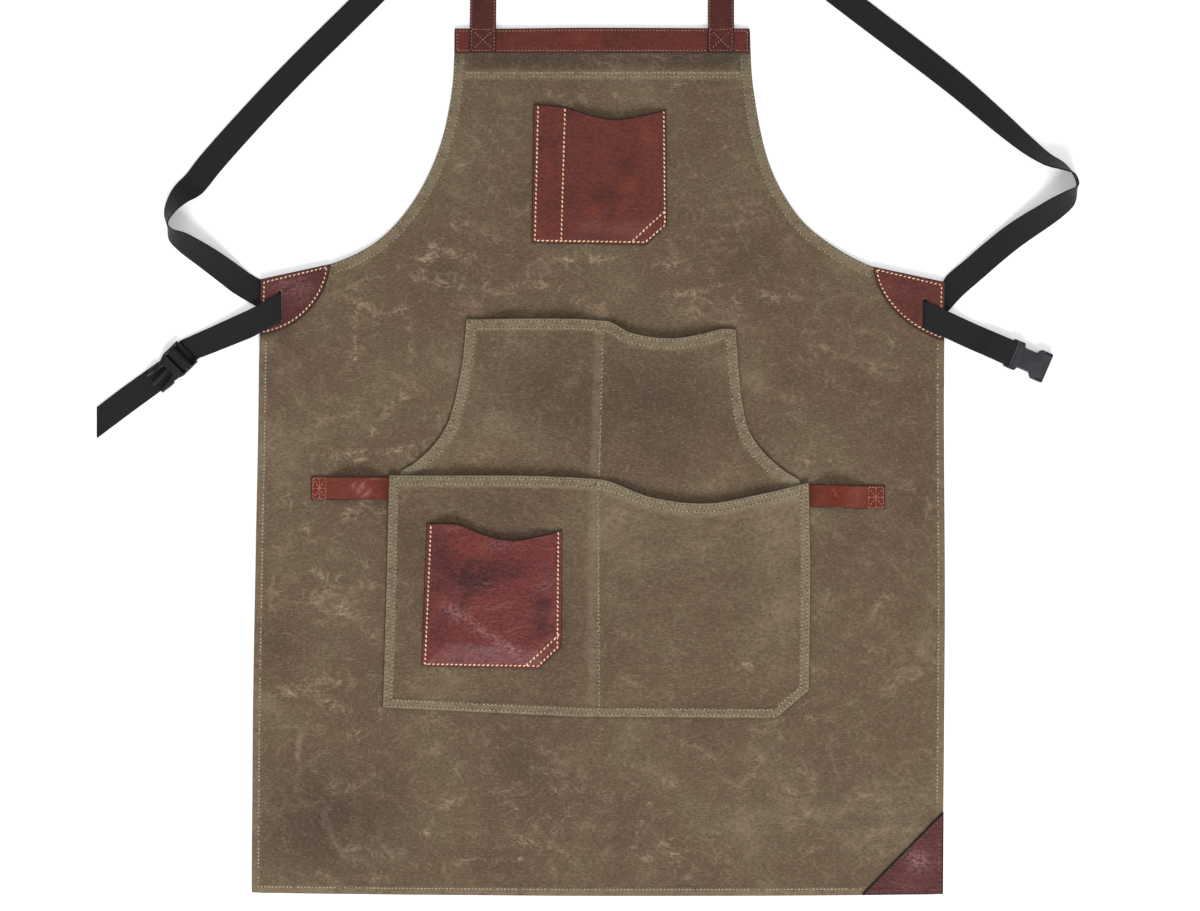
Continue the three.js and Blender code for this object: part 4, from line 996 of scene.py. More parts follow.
upper = {
    **CANVAS_PANEL,
    "tall": 187, "hems": (LEFT, RIGHT, TOP), "hem_width": 12, "deep_mouth": 0.5, "back": upper_back,
    "top": [(-133, 154.9), (6, 153.2), (30.8, 141.1), (69.7, 135.6), (101.5, 140.1), (120.4, 145.2),
            (135.1, 144.8)],
    "bottom": [(-195, -30), (195, -34)],
    "left": [(-30, -190), (1, -199.5), (11.4, -185.1), (28.4, -166.5), (52.2, -151.2), (105, -138.3),
             (154.9, -133)],
    "right": [(-34, 190), (-7.5, 200), (4.1, 183.1), (22.4, 162.9), (43.7, 148.7), (76.1, 141.3),
              (144.8, 135.1)],
    "strip": np.array([(-1.2, 143.0), (-5.6, 0.0)]),
}
upper["seams"] = [
    inset(upper, LEFT, 3, 3, 151), inset(upper, LEFT, 9.5, 6, 145),
    inset(upper, RIGHT, 3, -2, 141), inset(upper, RIGHT, 10, 2, 135),
    inset(upper, TOP, 3, -129, 132), inset(upper, TOP, 9.5, -123, 126),
    np.array([(3.0, 145.8), (-1.0, -2.5)]),
]
CLOTH_OFFSETS = (0, 0.4, 1.2, 2.2, 3.2, 4.6, 6.4, 8, 9.4, 11, 12.6)
panel_piece("upper_pocket", upper, 3.4, CLOTH_OFFSETS, pocket_canvas, "waxed_canvas")

# %% Lower canvas pocket: wider, over the foot of the upper one and the ends of the tool loops
LOWER_RISE = 5.8
LOWER_SEAM = 8.5
LOWER_RAMP = 40
LOWER_DIVIDER = -1.5
RIM_RISE = 2.4


def lower_back(x, y):
    """Back of the lower pocket: a plateau in each half, and a raised rim where it passes over the loops."""
    rise = smooth_step(y - straight(lower["bottom"], x), LOWER_SEAM, 60)
    inner, outer = eased(lower["left"], y) + LOWER_SEAM, eased(lower["right"], y) - LOWER_SEAM
    both = plateau(x, inner, LOWER_DIVIDER, LOWER_RAMP) + plateau(x, LOWER_DIVIDER, outer, LOWER_RAMP)
    rim = RIM_RISE * smooth_step(y, -82, -52)
    ripple = 0.35 * rise * both * np.sin(x / 13 - y / 29) * np.sin(y / 19 + x / 37)
    return CANVAS + GAP + rim + (LOWER_RISE - rim) * rise * both + ripple


lower = {
    **CANVAS_PANEL,
    "tall": 235, "hems": (LEFT, RIGHT, TOP, FOOT), "hem_width": 11, "deep_mouth": 1.8, "back": lower_back,
    "top": [(-209.5, 0), (-2, -4), (50.7, -21.9), (106, -28.1), (159.2, -18.9), (207.6, -7.5)],
    "bottom": [(-216.2, -232.1), (-19.9, -241.3), (175.1, -242.3), (208, -214.8)],
    "marks": (175.1,),
    "left": [(-232.1, -216.2), (0, -209.5)],
    "right": [(-242.3, 207.6), (-97, 209.5), (-7.5, 207.6)],
    "strip": np.array([(-6.0, -15.0), (-8.6, -232.0)]),
}
lower["seams"] = [
    inset(lower, LEFT, 3.2, -229, -3.5), inset(lower, LEFT, 8.6, -223, -8.8),
    inset(lower, RIGHT, 3.2, -212, -11), inset(lower, RIGHT, 8.6, -209.5, -16),
    inset(lower, TOP, 3.4, -206, 204), inset(lower, TOP, 8.6, -200.5, 199),
    inset(lower, FOOT, 3.2, -212.8, 174.2), inset(lower, FOOT, 8.6, -207, 172.2),
    inset(lower, FOOT, 3.2, 175.2, 205.4, 4), inset(lower, FOOT, 8.6, 173.6, 200.5, 4),
    np.array([(-2.0, -12.8), (-1.0, -238.5)]),
]
panel_piece("lower_pocket", lower, 3.6, CLOTH_OFFSETS, pocket_canvas, "waxed_canvas")

# %% [markdown]
# ## Leather
# The pockets and patches are oiled pull-up leather: deep red-brown, darker where oil has gathered and
# brighter where bending has pushed it aside, with a fine pebbled grain that breaks up the light. The band,
# straps and loops are a redder, smoother strap leather. One group makes grain, mottles and pulled spots,
# and each leather gives it its own colours. Marks stored on the mesh paint sheen highlights into the colour.
# Cut edges are burnished dark from the edge mask on the mesh, and at the pockets' mouths the same mask
# holds a painted shadow.

# %% Node group: leather grain, mottles and pulled oil
grain_group, given, wanted = new_group(
    "leather_grain", [VECTOR_INPUT], ["Pebble", "Fibre", "Mottle", "Pull", "Wrinkle"])
place = given["Vector"]
pebble = number(grain_group, "MULTIPLY", cells(grain_group, place, 620.0), -0.7)
fibre = noise(grain_group, stretched(grain_group, place, (1.0, 1.6, 1.0)), 260.0, 4.0, 0.8)
pebble = number(grain_group, "ADD", pebble, fibre)
mottle = noise(grain_group, place, 19.0, 5.0, 0.62, 0.8)
pull = noise(grain_group, stretched(grain_group, place, (1.0, -0.8, 1.0)), 33.0, 4.0, 0.55, 0.5)
fold = noise(grain_group, stretched(grain_group, place, (1.0, 1.8, 1.0)), 55.0, 4.0, 0.6, 1.6)
fill_group(grain_group, wanted, Pebble=pebble, Fibre=fibre, Mottle=mottle, Pull=pull, Wrinkle=fold)
print("group", grain_group.name, len(grain_group.nodes), "nodes")

# %% Leathers: one material for each batch of hide
EDGE_DYE_AND_SHADE = colour("1a1110")
PAINTED_SHEEN = colour("a27a79")


def leather(name, ground, dark, pulled, roughness, wrinkle, broken=0.34):
    """Ground colour, darkened by mottles, brightened where pulled, black on cut edges and, at pocket mouths,
    in a painted shadow, bumped by grain.

    Marks stored on the mesh are a painted sheen highlight where positive, broken up by the grain, and make
    the leather darker where they are negative.
    """
    material, tree, shader = new_material(name, Specular_IOR_Level=0.24)
    grain = place_group(tree, grain_group, Vector=object_place(tree))
    wear_and_sheen = stored(tree, "wear_and_sheen")
    # positive stored marks become a painted sheen highlight in the colour, broken up by the grain
    painted_sheen = number(tree, "MULTIPLY", wear_and_sheen, mask(tree, grain["Fibre"], broken, broken + 0.3, 0.8))
    base = painted(tree, colour(ground), [
        (grain["Mottle"], 0.50, 0.72, 0.6, colour(dark)),
        (grain["Pull"], 0.54, 0.76, 0.65, colour(pulled)),
        (wear_and_sheen, 0.0, -1.0, 0.95, colour(dark)),
        (grain["Fibre"], 0.52, 0.28, 0.85, colour(dark)),
        (grain["Fibre"], 0.50, 0.72, 0.6, colour(pulled)),
        (painted_sheen, 0.0, 0.8, 0.65, PAINTED_SHEEN),
    ])
    # the edge mask gives cut edges their dark dye, and at pocket mouths a painted shadow as well
    base = mixed(tree, stored(tree, "edge"), base, EDGE_DYE_AND_SHADE)
    gloss = number(tree, "ADD", mask(tree, grain["Mottle"], 0.3, 0.7, 0.14), roughness)
    pebble = number(tree, "MULTIPLY", grain["Pebble"], 0.2)
    folds = number(tree, "MULTIPLY", grain["Wrinkle"], wrinkle)
    surfaced(tree, shader, base, gloss, number(tree, "ADD", pebble, folds), 0.001)
    return material


chest_leather = leather("chest_leather", "5f2b25", "3a1b19", "773725", 0.48, 0.8)
patch_leather = leather("patch_leather", "672f2c", "2e1619", "7e3e33", 0.36, 1.2)
side_leather = leather("side_leather", "522a29", "361b1c", "66362f", 0.40, 0.8)
brown_side_leather = leather("brown_side_leather", "5a2c27", "3b1d1a", "6e382e", 0.40, 0.8)
trim_leather = leather("trim_leather", "5d2921", "3e1d18", "77382a", 0.36, 0.5)
HIDES = (chest_leather, patch_leather, side_leather, brown_side_leather, trim_leather)
print("leathers:", [hide.name for hide in HIDES])

# %% Chest pocket with its pen slot and cut-off corner
LEATHER_OFFSETS = (0, 0.3, 0.7, 1.2, 2, 3, 4.2)
LEATHER_PANEL = {"thick": LEATHER, "hems": (), "hem_rise": 0, "round": 0.7}
# the dark band at a pocket's mouth, dyed edge and painted shadow, fades out over this distance
LEATHER_POCKET = {**LEATHER_PANEL, "dent": 0.4, "painted": 0.8, "mouth_dye_and_shade": 1.7}


def compartments(panel, x, y):
    """Rise of a leather pocket: the highest of its compartments' plateaus, down at the sewn foot."""
    rise = smooth_step(y - straight(panel["bottom"], x), 4, POCKET_RAMP)
    rooms = [height * plateau(x, low, high, ramp) for low, high, height, ramp in panel["rooms"]]
    return rise * np.max(rooms, axis=0)


def chest_back(x, y):
    """Back of the chest pocket: a gap off the apron, and more in its compartments."""
    return CANVAS + GAP + compartments(chest, x, y)


# positive marks are painted sheen highlights, negative marks make the leather darker
CHEST_SHEEN_AND_DARK = [
    (4, 276, 22, 11.9, 0, -0.6), (-8, 238, 25, 5, 0, -0.5), (19, 305, 8, 13.9, 0, -0.35),
    (-40, 288, 6, 29.9, 0, -0.15), (0, 343, 30, 8, 0, 0.12), (48, 313, 8, 24.9, 0, 0.12),
]
chest = {
    **LEATHER_POCKET,
    "tall": 137, "wear_and_sheen": CHEST_SHEEN_AND_DARK, "back": chest_back,
    "top": [(-65.9, 368.6), (-33.2, 364.7), (-12, 357.5), (13.9, 352.7), (40, 356), (65.7, 362.7)],
    "bottom": [(-67.9, 230.2), (45.8, 227.7), (66.6, 248.6)],
    "marks": (45.8,),
    "left": [(230.2, -67.9), (368.6, -65.9)],
    "right": [(227.7, 66.6), (362.7, 65.7)],
    "rooms": [(-63, -37, 0.9, 12), (-36, 63, POCKET_RISE, 20)],
}
chest["seams"] = [np.array(line) for line in (
    [(-61.5, 367.0), (-64.7, 232.6), (45.0, 231.0), (64.4, 247.8), (63.3, 362.1)],
    [(-34.8, 364.4), (-38.6, 232.6)],
    [(65.0, 262.2), (31.5, 231.5)])]
panel_piece("chest_pocket", chest, 2.2, LEATHER_OFFSETS, chest_leather, "pocket_leather")

# %% Patch pocket on the lower pocket's left half
# positive marks are painted sheen highlights, negative marks make the leather darker
PATCH_SHEEN_AND_DARK = [
    (-148, -54, 11, 5, 0, 0.5), (-104, -72, 28, 8, 0, 0.5), (-117, -154, 46, 7, -35, 0.6),
    (-147, -137, 12, 14, -45, 0.4), (-107, -130, 28, 7, 3, 0.45), (-58, -112, 13, 12, 0, 0.5),
    (-90, -170, 16, 6, -30, 0.4), (-125, -95, 6, 4, 0, 0.35), (-125, -101, 26, 21, 0, -0.85),
    (-158, -78, 14, 24, 0, -0.5), (-58, -126, 11, 8, 10, -0.85), (-57, -152, 13, 11, 0, -0.65),
    (-113, -173, 22, 7, -20, -0.5), (-160, -160, 12, 18, 0, -0.4), (-85, -95, 22, 15, 0, -0.4),
]


def patch_back(x, y):
    """Back of the patch pocket: on the lower pocket's front, with soft folds where the leather slumped."""
    rise = compartments(patch, x, y)
    slump = np.sin(x / 15 - y / 24) * np.sin(y / 15 + x / 34) + 0.6 * np.sin(x / 31 + y / 13)
    return lower_back(x, y) + CANVAS + GAP + rise + 0.16 * rise * slump


patch = {
    **LEATHER_POCKET,
    "tall": 140, "wear_and_sheen": PATCH_SHEEN_AND_DARK, "back": patch_back,
    "top": [(-171.7, -48.1), (-140.8, -48.9), (-115, -59), (-87.6, -64.6), (-60, -60.5), (-37.3, -54.9)],
    "bottom": [(-177.2, -189.9), (-61.7, -193.5), (-38.1, -171.4)],
    "marks": (-61.7,),
    "left": [(-189.9, -177.2), (-48.1, -171.7)],
    "right": [(-193.5, -38.1), (-54.9, -37.3)],
    "rooms": [(-172.5, -41, POCKET_RISE, 24)],
}
patch["seams"] = [np.array(line) for line in (
    [(-167.5, -50.0), (-173.4, -187.6), (-61.6, -189.6), (-42.3, -171.3), (-41.3, -56.2)],
    [(-39.6, -157.7), (-73.9, -189.9)])]
panel_piece("patch_pocket", patch, 2.2, LEATHER_OFFSETS, patch_leather, "pocket_leather")

# %% [markdown]
# ## Band and patches
# The top band, the two side patches and the corner patch are flat leather sewn round their edges. They are
# panels like the pockets, without a rise. A side patch is a quarter round under the armhole with a slot for
# the webbing: its grid has columns along the slot's sides, and the quads between them are left out.

# %% Top band
def flat_back(x, y):
    """Back of a flat piece: a gap off the canvas everywhere."""
    return CANVAS + GAP + 0 * x


FLAT_LEATHER = {**LEATHER_PANEL, "dent": 0.35, "back": flat_back, "wear_and_sheen": ()}
SEAM_IN = 2.5
band = {
    **FLAT_LEATHER,
    "tall": 24.8, "painted": 1.4,
    "top": [(-144.5, 443.5), (-95, 443.3), (-20, 444.1), (60, 443.9), (148.8, 443.4)],
    "bottom": [(-144.5, 419), (148.8, 419)],
    "left": [(419, -144.5), (443.8, -144.5)],
    "right": [(419, 148.8), (443.8, 148.8)],
}
band["seams"] = [
    np.concatenate([inset(band, FOOT, SEAM_IN, -142, 146.3, 2), inset(band, TOP, SEAM_IN, 146.3, -142, 40),
                    inset(band, FOOT, SEAM_IN, -142, -141.9, 2)])]
panel_piece("top_band", band, 2.4, LEATHER_OFFSETS, trim_leather, "trim_leather")

# %% Side patches with their webbing slots
# positive marks are painted sheen highlights, negative marks make the leather darker
SIDE_SHEEN_AND_DARK = [
    (-312, 192, 26, 6, 12, 0.42), (-305, 184, 18, 7, 10, 0.35), (-291, 183, 14, 10, 30, 0.3),
    (-297, 171, 12, 6, -20, 0.25), (-280, 196, 8, 8, 0, -0.3), (-300, 152, 30, 10, 10, -0.2),
    (-298, 156, 14, 6, 20, -0.2), (296, 183, 14, 8, 0, 0.25), (318, 169, 10, 8, 0, -0.25),
]
CURVE_STEPS = 26
PATCH_SEAM_IN = 3.1
TIP_IN = -3.5
PATCH_SLOTS = {"left": (-319.9, -316.15, 151.3, 182.1), "right": (320.35, 324.1, 144.7, 174.1)}


def bezier(start, first, second, end):
    """A cubic curve: (1-t)^3 start + 3t(1-t)^2 first + 3t^2(1-t) second + t^3 end."""
    t = np.linspace(0, 1, CURVE_STEPS)[:, None]
    p, q, r, s = (np.array(point, float) for point in (start, first, second, end))
    return (1 - t) ** 3 * p + 3 * t * (1 - t) ** 2 * q + 3 * t * t * (1 - t) * r + t ** 3 * s


def inner_offset(line, depth):
    """A line moved sideways by a depth, to the left of its direction."""
    along = directions(line)
    return line + depth * np.stack([-along[:, 1], along[:, 0]], axis=1)


def side_patch(name, corner, top, upper_pull, lower_pull, foot, hole, material):
    """A quarter round from its tip on the armhole, round a cubic curve, to its foot on the side hem."""
    curve = bezier(top, upper_pull, lower_pull, foot)
    hand = np.sign(corner[0])
    ordered = curve[np.argsort(curve[:, 0])]
    side = [(foot[1], foot[0]), (corner[1], corner[0])]
    tip_side = [(foot[1], top[0]), (corner[1] + 30, top[0])]
    rim = inner_offset(curve[1:-1], hand * PATCH_SEAM_IN)
    upper_seam = inner_offset(np.array([corner, top], float), hand * PATCH_SEAM_IN)
    tip = upper_seam[1:] - [[hand * TIP_IN, 0]]
    beside_hem = [foot[0] - hand * PATCH_SEAM_IN, rim[-1, 1]]
    down = np.array([upper_seam[0] - hand * np.array([PATCH_SEAM_IN, 0]), beside_hem])
    panel = {
        **FLAT_LEATHER,
        "tall": 56, "wear_and_sheen": SIDE_SHEEN_AND_DARK,
        "top": sorted([tuple(corner), tuple(top)]),
        "bottom": [tuple(p) for p in ordered],
        "left": side if hand < 0 else tip_side,
        "right": tip_side if hand < 0 else side,
        "hole": hole,
        "seams": [np.concatenate([tip, down, rim[::-1], tip])],
    }
    panel_piece(name, panel, 2.0, LEATHER_OFFSETS, material, "pocket_leather")
    return panel


left_patch = side_patch("side_patch_left", UNDERARM_LEFT, PATCH_TIP_LEFT, (-270, 176), (-298, 143),
                        (-337.8, 138.4), PATCH_SLOTS["left"], side_leather)
right_patch = side_patch("side_patch_right", UNDERARM_RIGHT, PATCH_TIP_RIGHT, (273, 178), (300, 145),
                         (341.5, 132.5), PATCH_SLOTS["right"], brown_side_leather)

# %% Corner patch, with the hems showing through it as low ridges
def hem_ridges(x, y):
    """The folded hems under the patch: a step up near the bottom and right edges."""
    foot = 1 - smooth_step(edge_gap(straight, corner_patch["bottom"], x, y, 1), 5.5, 8.5)
    side = 1 - smooth_step(edge_gap(straight, corner_patch["right"], y, x, -1), 5.5, 9)
    return 0.55 * np.maximum(foot, 0.7 * side)


# positive marks are painted sheen, two of them painted highlights along the hem ridges under the patch; the
# negative mark makes it darker
CORNER_SHEEN_AND_DARK = [
    (316, -383, 14, 15.9, 45, 0.75), (309, -410, 25, 2.5, 0, 0.5), (337, -376, 20, 2, 90, 0.35),
    (289, -403, 12, 6, 0, -0.3),
]
corner_patch = {
    **FLAT_LEATHER,
    "tall": 82, "wear_and_sheen": CORNER_SHEEN_AND_DARK,
    "top": [(261.0, -417.1), (341.5, -335.3)],
    "bottom": [(261.0, -418), (340.9, -416.9)],
    "left": [(-418, 261.0), (-335.3, 261.0)],
    "right": [(-416.9, 340.9), (-335.3, 341.5)],
    "painted": 1.8,
    "relief": hem_ridges,
}
corner_patch["seams"] = [np.array([(268.2, -415.2), (338.2, -414.3), (338.8, -342.0), (268.2, -413.6)])]
panel_piece("corner_patch", corner_patch, 2.0, LEATHER_OFFSETS, side_leather, "pocket_leather")

# %% [markdown]
# ## Straps and loops
# A strap is a rounded flat outline carried along a line. The shoulder straps are sewn on the band, step
# down to the table and run up over the webbing's ends. The tool loops are short strips, tucked under the
# lower pocket, bowed up in the middle and sewn at the outer end. Each station has a middle, a way across
# and a way up, and the outline's points are placed along those two.

# %% An outline carried along a line
def ring_quads(rings, sides):
    """Quads between each ring of points and the next, for rings with the same number of sides."""
    step = np.arange(rings - 1)[:, None] * sides
    here = np.arange(sides)
    there = np.roll(here, -1)
    quads = np.stack([step + here, step + there, step + there + sides, step + here + sides], axis=2)
    return quads.reshape(-1, 4)


def carried_profile(middle, across, up, profile):
    """Points and quads of an outline carried along a path: middle + across * s + up * h for each (s, h).

    The outline runs along its top and back along its bottom, so that each end is closed by a ladder of quads
    between a point of the top and the one opposite.
    """
    s, h = np.asarray(profile, float).T
    points = middle[:, None] + across[:, None] * s[None, :, None] + up[:, None] * h[None, :, None]
    stations, sides = points.shape[:2]
    rung = np.arange(sides // 2 - 1)
    end = np.stack([rung + 1, rung, sides - 1 - rung, sides - 2 - rung], axis=1)
    last = (stations - 1) * sides
    quads = np.concatenate([ring_quads(stations, sides), end, end[:, ::-1] + last])
    points = points.reshape(-1, 3)
    return points, outward(points, quads)


def outward(points, quads):
    """The same quads, turned over if the volume that they enclose comes out negative."""
    a, b, c, d = (points[quads[:, k]] for k in range(4))
    volume = np.sum(np.cross(b - a, c - a) * a + np.cross(c - a, d - a) * a)
    return quads if volume > 0 else quads[:, ::-1]


print("3 rings of 4 points have", len(ring_quads(3, 4)), "quads between them")

# %% A strap's outline, and strap pieces
def strap_outline(width, thick, seam=None, depth=0.25):
    """The top from left to right and the bottom back: flat, rounded at the edges, dipped along each seam."""
    half = width / 2
    offsets = np.array([0, 0.25, 0.7, 1.3, 2.0, 2.6, 3.3, 4.4, 6.0, 8.5])
    s = np.concatenate([-half + offsets, half - offsets[::-1]])
    inside = half - np.abs(s)
    dip = sewn_dent(inside - seam, depth, 0.8) if seam else 0 * s
    flank = thick / 2 - rounded_drop(inside, thick / 2)
    return np.column_stack([np.concatenate([s, s[::-1]]), np.concatenate([flank - dip, -flank[::-1]])])


def strap_piece(name, middle, across, outline, material, slot, marks=()):
    """Carries an outline along a line, with up square to the line and to the way across."""
    up = unit(np.cross(directions(middle), across))
    up = up * np.sign(up[:, 2:].sum())
    points, quads = carried_profile(middle, across, up, outline)
    piece = new_mesh(name, points, quads)
    width = np.abs(outline[:, 0]).max()
    edge = 1 - smooth_step(width - np.abs(outline[:, 0]), 0.3, 1.0)
    edge = np.tile(edge, (len(middle), 1))
    run = run_lengths(middle)
    ends = np.minimum(run, run[-1] - run)
    edge = np.maximum(edge, 1 - smooth_step(ends, 0.1, 0.9)[:, None])
    point_values(piece, "edge", edge)
    point_values(piece, "wear_and_sheen", worn_by(marks, points[:, 0], points[:, 1]))
    return finish_piece(piece, material, slot, name)


print("points in a strap's outline:", len(strap_outline(26, 2.2, 2.6)))

# %% Shoulder straps
STRAP_LEATHER = 2.2
STRAP_WIDTH = 26
STRAP_FOOT = 419.5
STRAP_END = 670
STRAP_LINES = {"left": (-116.3, -115.4), "right": (120, 121.6)}
ON_BAND = CANVAS + LEATHER + 2 * GAP
STRAP_HEIGHTS = [(STRAP_FOOT, ON_BAND), (447, ON_BAND), (478, 0), (505, 0), (532, 1.9), (STRAP_END, 1.9)]
STRAP_STEP = 2.5
foot_y = STRAP_FOOT + np.array([0, 0.3, 0.8, 1.6])
strap_y = np.concatenate([foot_y, np.arange(422.5, STRAP_END, STRAP_STEP), [STRAP_END]])


def strap_line(hand):
    """Middle of a shoulder strap: straight in plan, its height eased through the table."""
    foot, top = STRAP_LINES[hand]
    x = np.interp(strap_y, [STRAP_FOOT, STRAP_END], [foot, top])
    z = np.maximum(eased(STRAP_HEIGHTS, strap_y), 0) + STRAP_LEATHER / 2
    return np.column_stack([x, strap_y, z])


strap_leather = leather("strap_leather", "4b211b", "301613", "633024", 0.38, 0.5)
for hand in STRAP_LINES:
    line = strap_line(hand)
    sideways = np.broadcast_to([1.0, 0, 0], line.shape)
    strap_piece(f"shoulder_strap_{hand}", line, sideways, strap_outline(STRAP_WIDTH, STRAP_LEATHER, SEAM_IN),
                strap_leather, "trim_leather")

# %% Tool loops
LOOP_WIDTH = 23
LOOP_THICK = 2
LOOP_BOW = 8
LOOP_LINES = {
    "left": {"inner": -203, "start": -211, "sewn": -271, "outer": -286.8, "mid": -13.7, "tilt": 0},
    "right": {"inner": 203.5, "start": 209, "sewn": 265.5, "outer": 283.1, "mid": -20.9, "tilt": -1.6},
}
loop_leather = leather("loop_leather", "67281b", "451b14", "823a25", 0.30, 0.35, 0.1)
# positive marks are painted highlights on the loops' bows; negative marks make both ends of each loop darker
LOOP_SHEEN_AND_DARK = [
    (-245, -11, 6, 1.6, 50, 0.5), (-237, -13, 7, 1.8, 60, 0.8), (-231, -19, 6, 1.5, 35, 0.7),
    (-222, -4, 7, 1.2, 5, 0.5), (-240, -15, 14, 9, 0, 0.18), (-215, -13, 6, 13.9, 0, -0.6),
    (-269, -13, 5, 13.9, 0, -0.3), (233, -18, 7, 1.6, -55, 0.4), (211, -21, 6, 13.9, 0, -0.55),
    (261, -21, 6, 13.9, 0, -0.3),
]


def loop_line(loop):
    """Middle of a tool loop: flat at its sewn ends and a sine bow, to the power 1.4, between them."""
    x = np.linspace(loop["inner"], loop["outer"], 60)
    t = np.clip((x - loop["start"]) / (loop["sewn"] - loop["start"]), 0, 1)
    y = loop["mid"] + loop["tilt"] * t
    bow = LOOP_BOW * np.sin(np.pi * t) ** 1.4
    return np.column_stack([x, y, CANVAS + GAP + LOOP_THICK / 2 + bow + lie(x, y)])


for hand, loop in LOOP_LINES.items():
    line = loop_line(loop)
    sideways = np.broadcast_to([0, 1.0, 0], line.shape)
    strap_piece(f"tool_loop_{hand}", line, sideways, strap_outline(LOOP_WIDTH, LOOP_THICK),
                loop_leather, "trim_leather", LOOP_SHEEN_AND_DARK)

# %% [markdown]
# ## Webbing
# Each webbing is one inch wide and stiff. It runs from the end of the opposite shoulder strap across the
# back, turns back on itself standing on edge, passes up through the side slot, folds over its lip and goes
# to its buckle half. Flat straps are modelled directly: each station of the route has two edge points,
# repeated from the CAD's tables, and a curve through the stations keeps it smooth. The weave follows the
# strap, so it reads a UV map of millimetres across and along.

# %% Black webbing's finish
WEBBING_BLACK = colour("101013")
WEBBING_GREY = colour("26262b")
black_webbing, tree, shader = new_material(
    "black_webbing", Specular_IOR_Level=0.22, Sheen_Weight=0.05, Sheen_Roughness=0.45)
strap_place = add_node(tree, "ShaderNodeUVMap", uv_map="weave").outputs[0]
weave = place_group(tree, weave_group, Vector=strap_place, Pitch=0.0021)
dust = noise(tree, object_place(tree), 40.0, 5.0, 0.7)
base = painted(tree, WEBBING_BLACK, [
    (weave["Height"], -0.6, 0.9, 0.45, WEBBING_GREY),
    (weave["Slub"], 0.5, 0.72, 0.5, WEBBING_GREY),
    (dust, 0.58, 0.8, 0.3, WEBBING_GREY),
])
rough = number(tree, "ADD", mask(tree, weave["Slub"], 0.2, 0.8, 0.2), 0.55)
height = number(tree, "ADD", weave["Height"], weave["Slub"])
surfaced(tree, shader, base, rough, height, 0.0003, 0.8)
print("finish:", black_webbing.name)

# %% Curve through stations
def centripetal(rows, each):
    """A smooth curve through rows of numbers that never overshoots, with so many samples to a stretch.

    Steps between rows count as the square root of their length. The tangent at a row is the blend of the two
    chords beside it that those steps give.
    """
    p = np.asarray(rows, float)
    p = np.vstack([2 * p[0] - p[1], p, 2 * p[-1] - p[-2]])
    step = np.maximum(np.linalg.norm(np.diff(p, axis=0), axis=1), 1e-6)[:, None] ** 0.5
    before, here, after = step[:-2], step[1:-1], step[2:]
    p0, p1, p2, p3 = p[:-3], p[1:-2], p[2:-1], p[3:]
    leave = here * ((p1 - p0) / before - (p2 - p0) / (before + here) + (p2 - p1) / here)
    arrive = here * ((p2 - p1) / here - (p3 - p1) / (here + after) + (p3 - p2) / after)
    t = np.linspace(0, 1, each, endpoint=False)[:, None, None]
    curve = hermite(p1, leave, p2, arrive, t).transpose(1, 0, 2).reshape(-1, p.shape[1])
    return np.vstack([curve, p[-2]])


print("a curve through 3 rows has", len(centripetal([(0, 0), (1, 1), (2, 0)], 3)), "samples")

# %% Webbing laid on the table, and folded through a slot
HALF_WEBBING = 12.7
WEBBING_THICK = 1.6
FOLD_MIDDLE = 3.85
FOLD_RADIUS = 2.75
FOLD_LEAD = 13
FOLD_RUN = 26
STATIONS_PER_ROW = 3


def laid(rows, side):
    """Edge points along table rows of x, y, roll and lift: roll 90 stands the strap on edge on the table."""
    table = np.asarray(rows, float)
    path = centripetal(table[:, [0, 1, 3]], STATIONS_PER_ROW)
    count = np.arange(len(table))
    roll = centripetal(np.column_stack([table[:, 2], count, 0 * count]), STATIONS_PER_ROW)[:, 0]
    roll = np.radians(np.clip(roll, 0, 90))
    along = directions(path[:, :2])
    flat = side * np.cos(roll)
    across = HALF_WEBBING * np.column_stack([-along[:, 1] * flat, along[:, 0] * flat, np.sin(roll)])
    rest = np.sin(roll) * HALF_WEBBING + np.cos(roll) * WEBBING_THICK / 2
    middle = np.column_stack([path[:, :2], np.maximum(path[:, 2], 0) + rest])
    return np.hstack([middle + across, middle - across])


def folded(slot, side):
    """Edge points of a flat strip wrapped half round the slot's lip, a line that runs along Y."""
    x, y, heading_x, heading_y = slot
    inward = np.sign(heading_x)
    turn = np.pi * FOLD_RADIUS
    run = np.concatenate([[-FOLD_LEAD], np.linspace(0, turn, 9), [turn + FOLD_RUN]])
    angle = np.clip(run / FOLD_RADIUS, 0, np.pi)
    level = np.where(run < 0, run, np.minimum(turn - run, 0))
    middle = np.column_stack([x + inward * (FOLD_RADIUS * np.sin(angle) + level),
                              y + run * heading_y / abs(heading_x),
                              FOLD_MIDDLE - FOLD_RADIUS * np.cos(angle)])
    across = np.array([0, side * inward * HALF_WEBBING / abs(heading_x), 0])
    return np.hstack([middle + across, middle - across])


print("a fold through a slot has", len(folded((0, 0, 1, 0), 1)), "stations")

# %% Webbing threaded through a buckle half, and whole straps
def in_buckle(place, along, across, up):
    """Points given along, across and above a buckle half, in the apron's frame."""
    x, y, heading_x, heading_y = place
    along, across, up = np.broadcast_arrays(along, across, up)
    turned_x = x + along * heading_x - across * heading_y
    turned_y = y + along * heading_y + across * heading_x
    return np.stack([turned_x, turned_y, up], axis=-1)


def threaded(place, rows, side):
    """Edge points of a strap that follows rows of distance along a buckle half and height."""
    along, up = np.asarray(rows, float).T
    reach = side * HALF_WEBBING
    return np.hstack([in_buckle(place, along, reach, up), in_buckle(place, along, -reach, up)])


def bridged(start, end, dip=0.0, count=7):
    """Stretches with straight stations between them, which sag by dip * sin in the middle."""
    t = np.linspace(0, 1, count + 2)[1:-1, None]
    between = start[-1] * (1 - t) + end[0] * t
    between[:, [2, 5]] -= dip * np.sin(np.pi * t)
    return np.vstack([start, between, end])


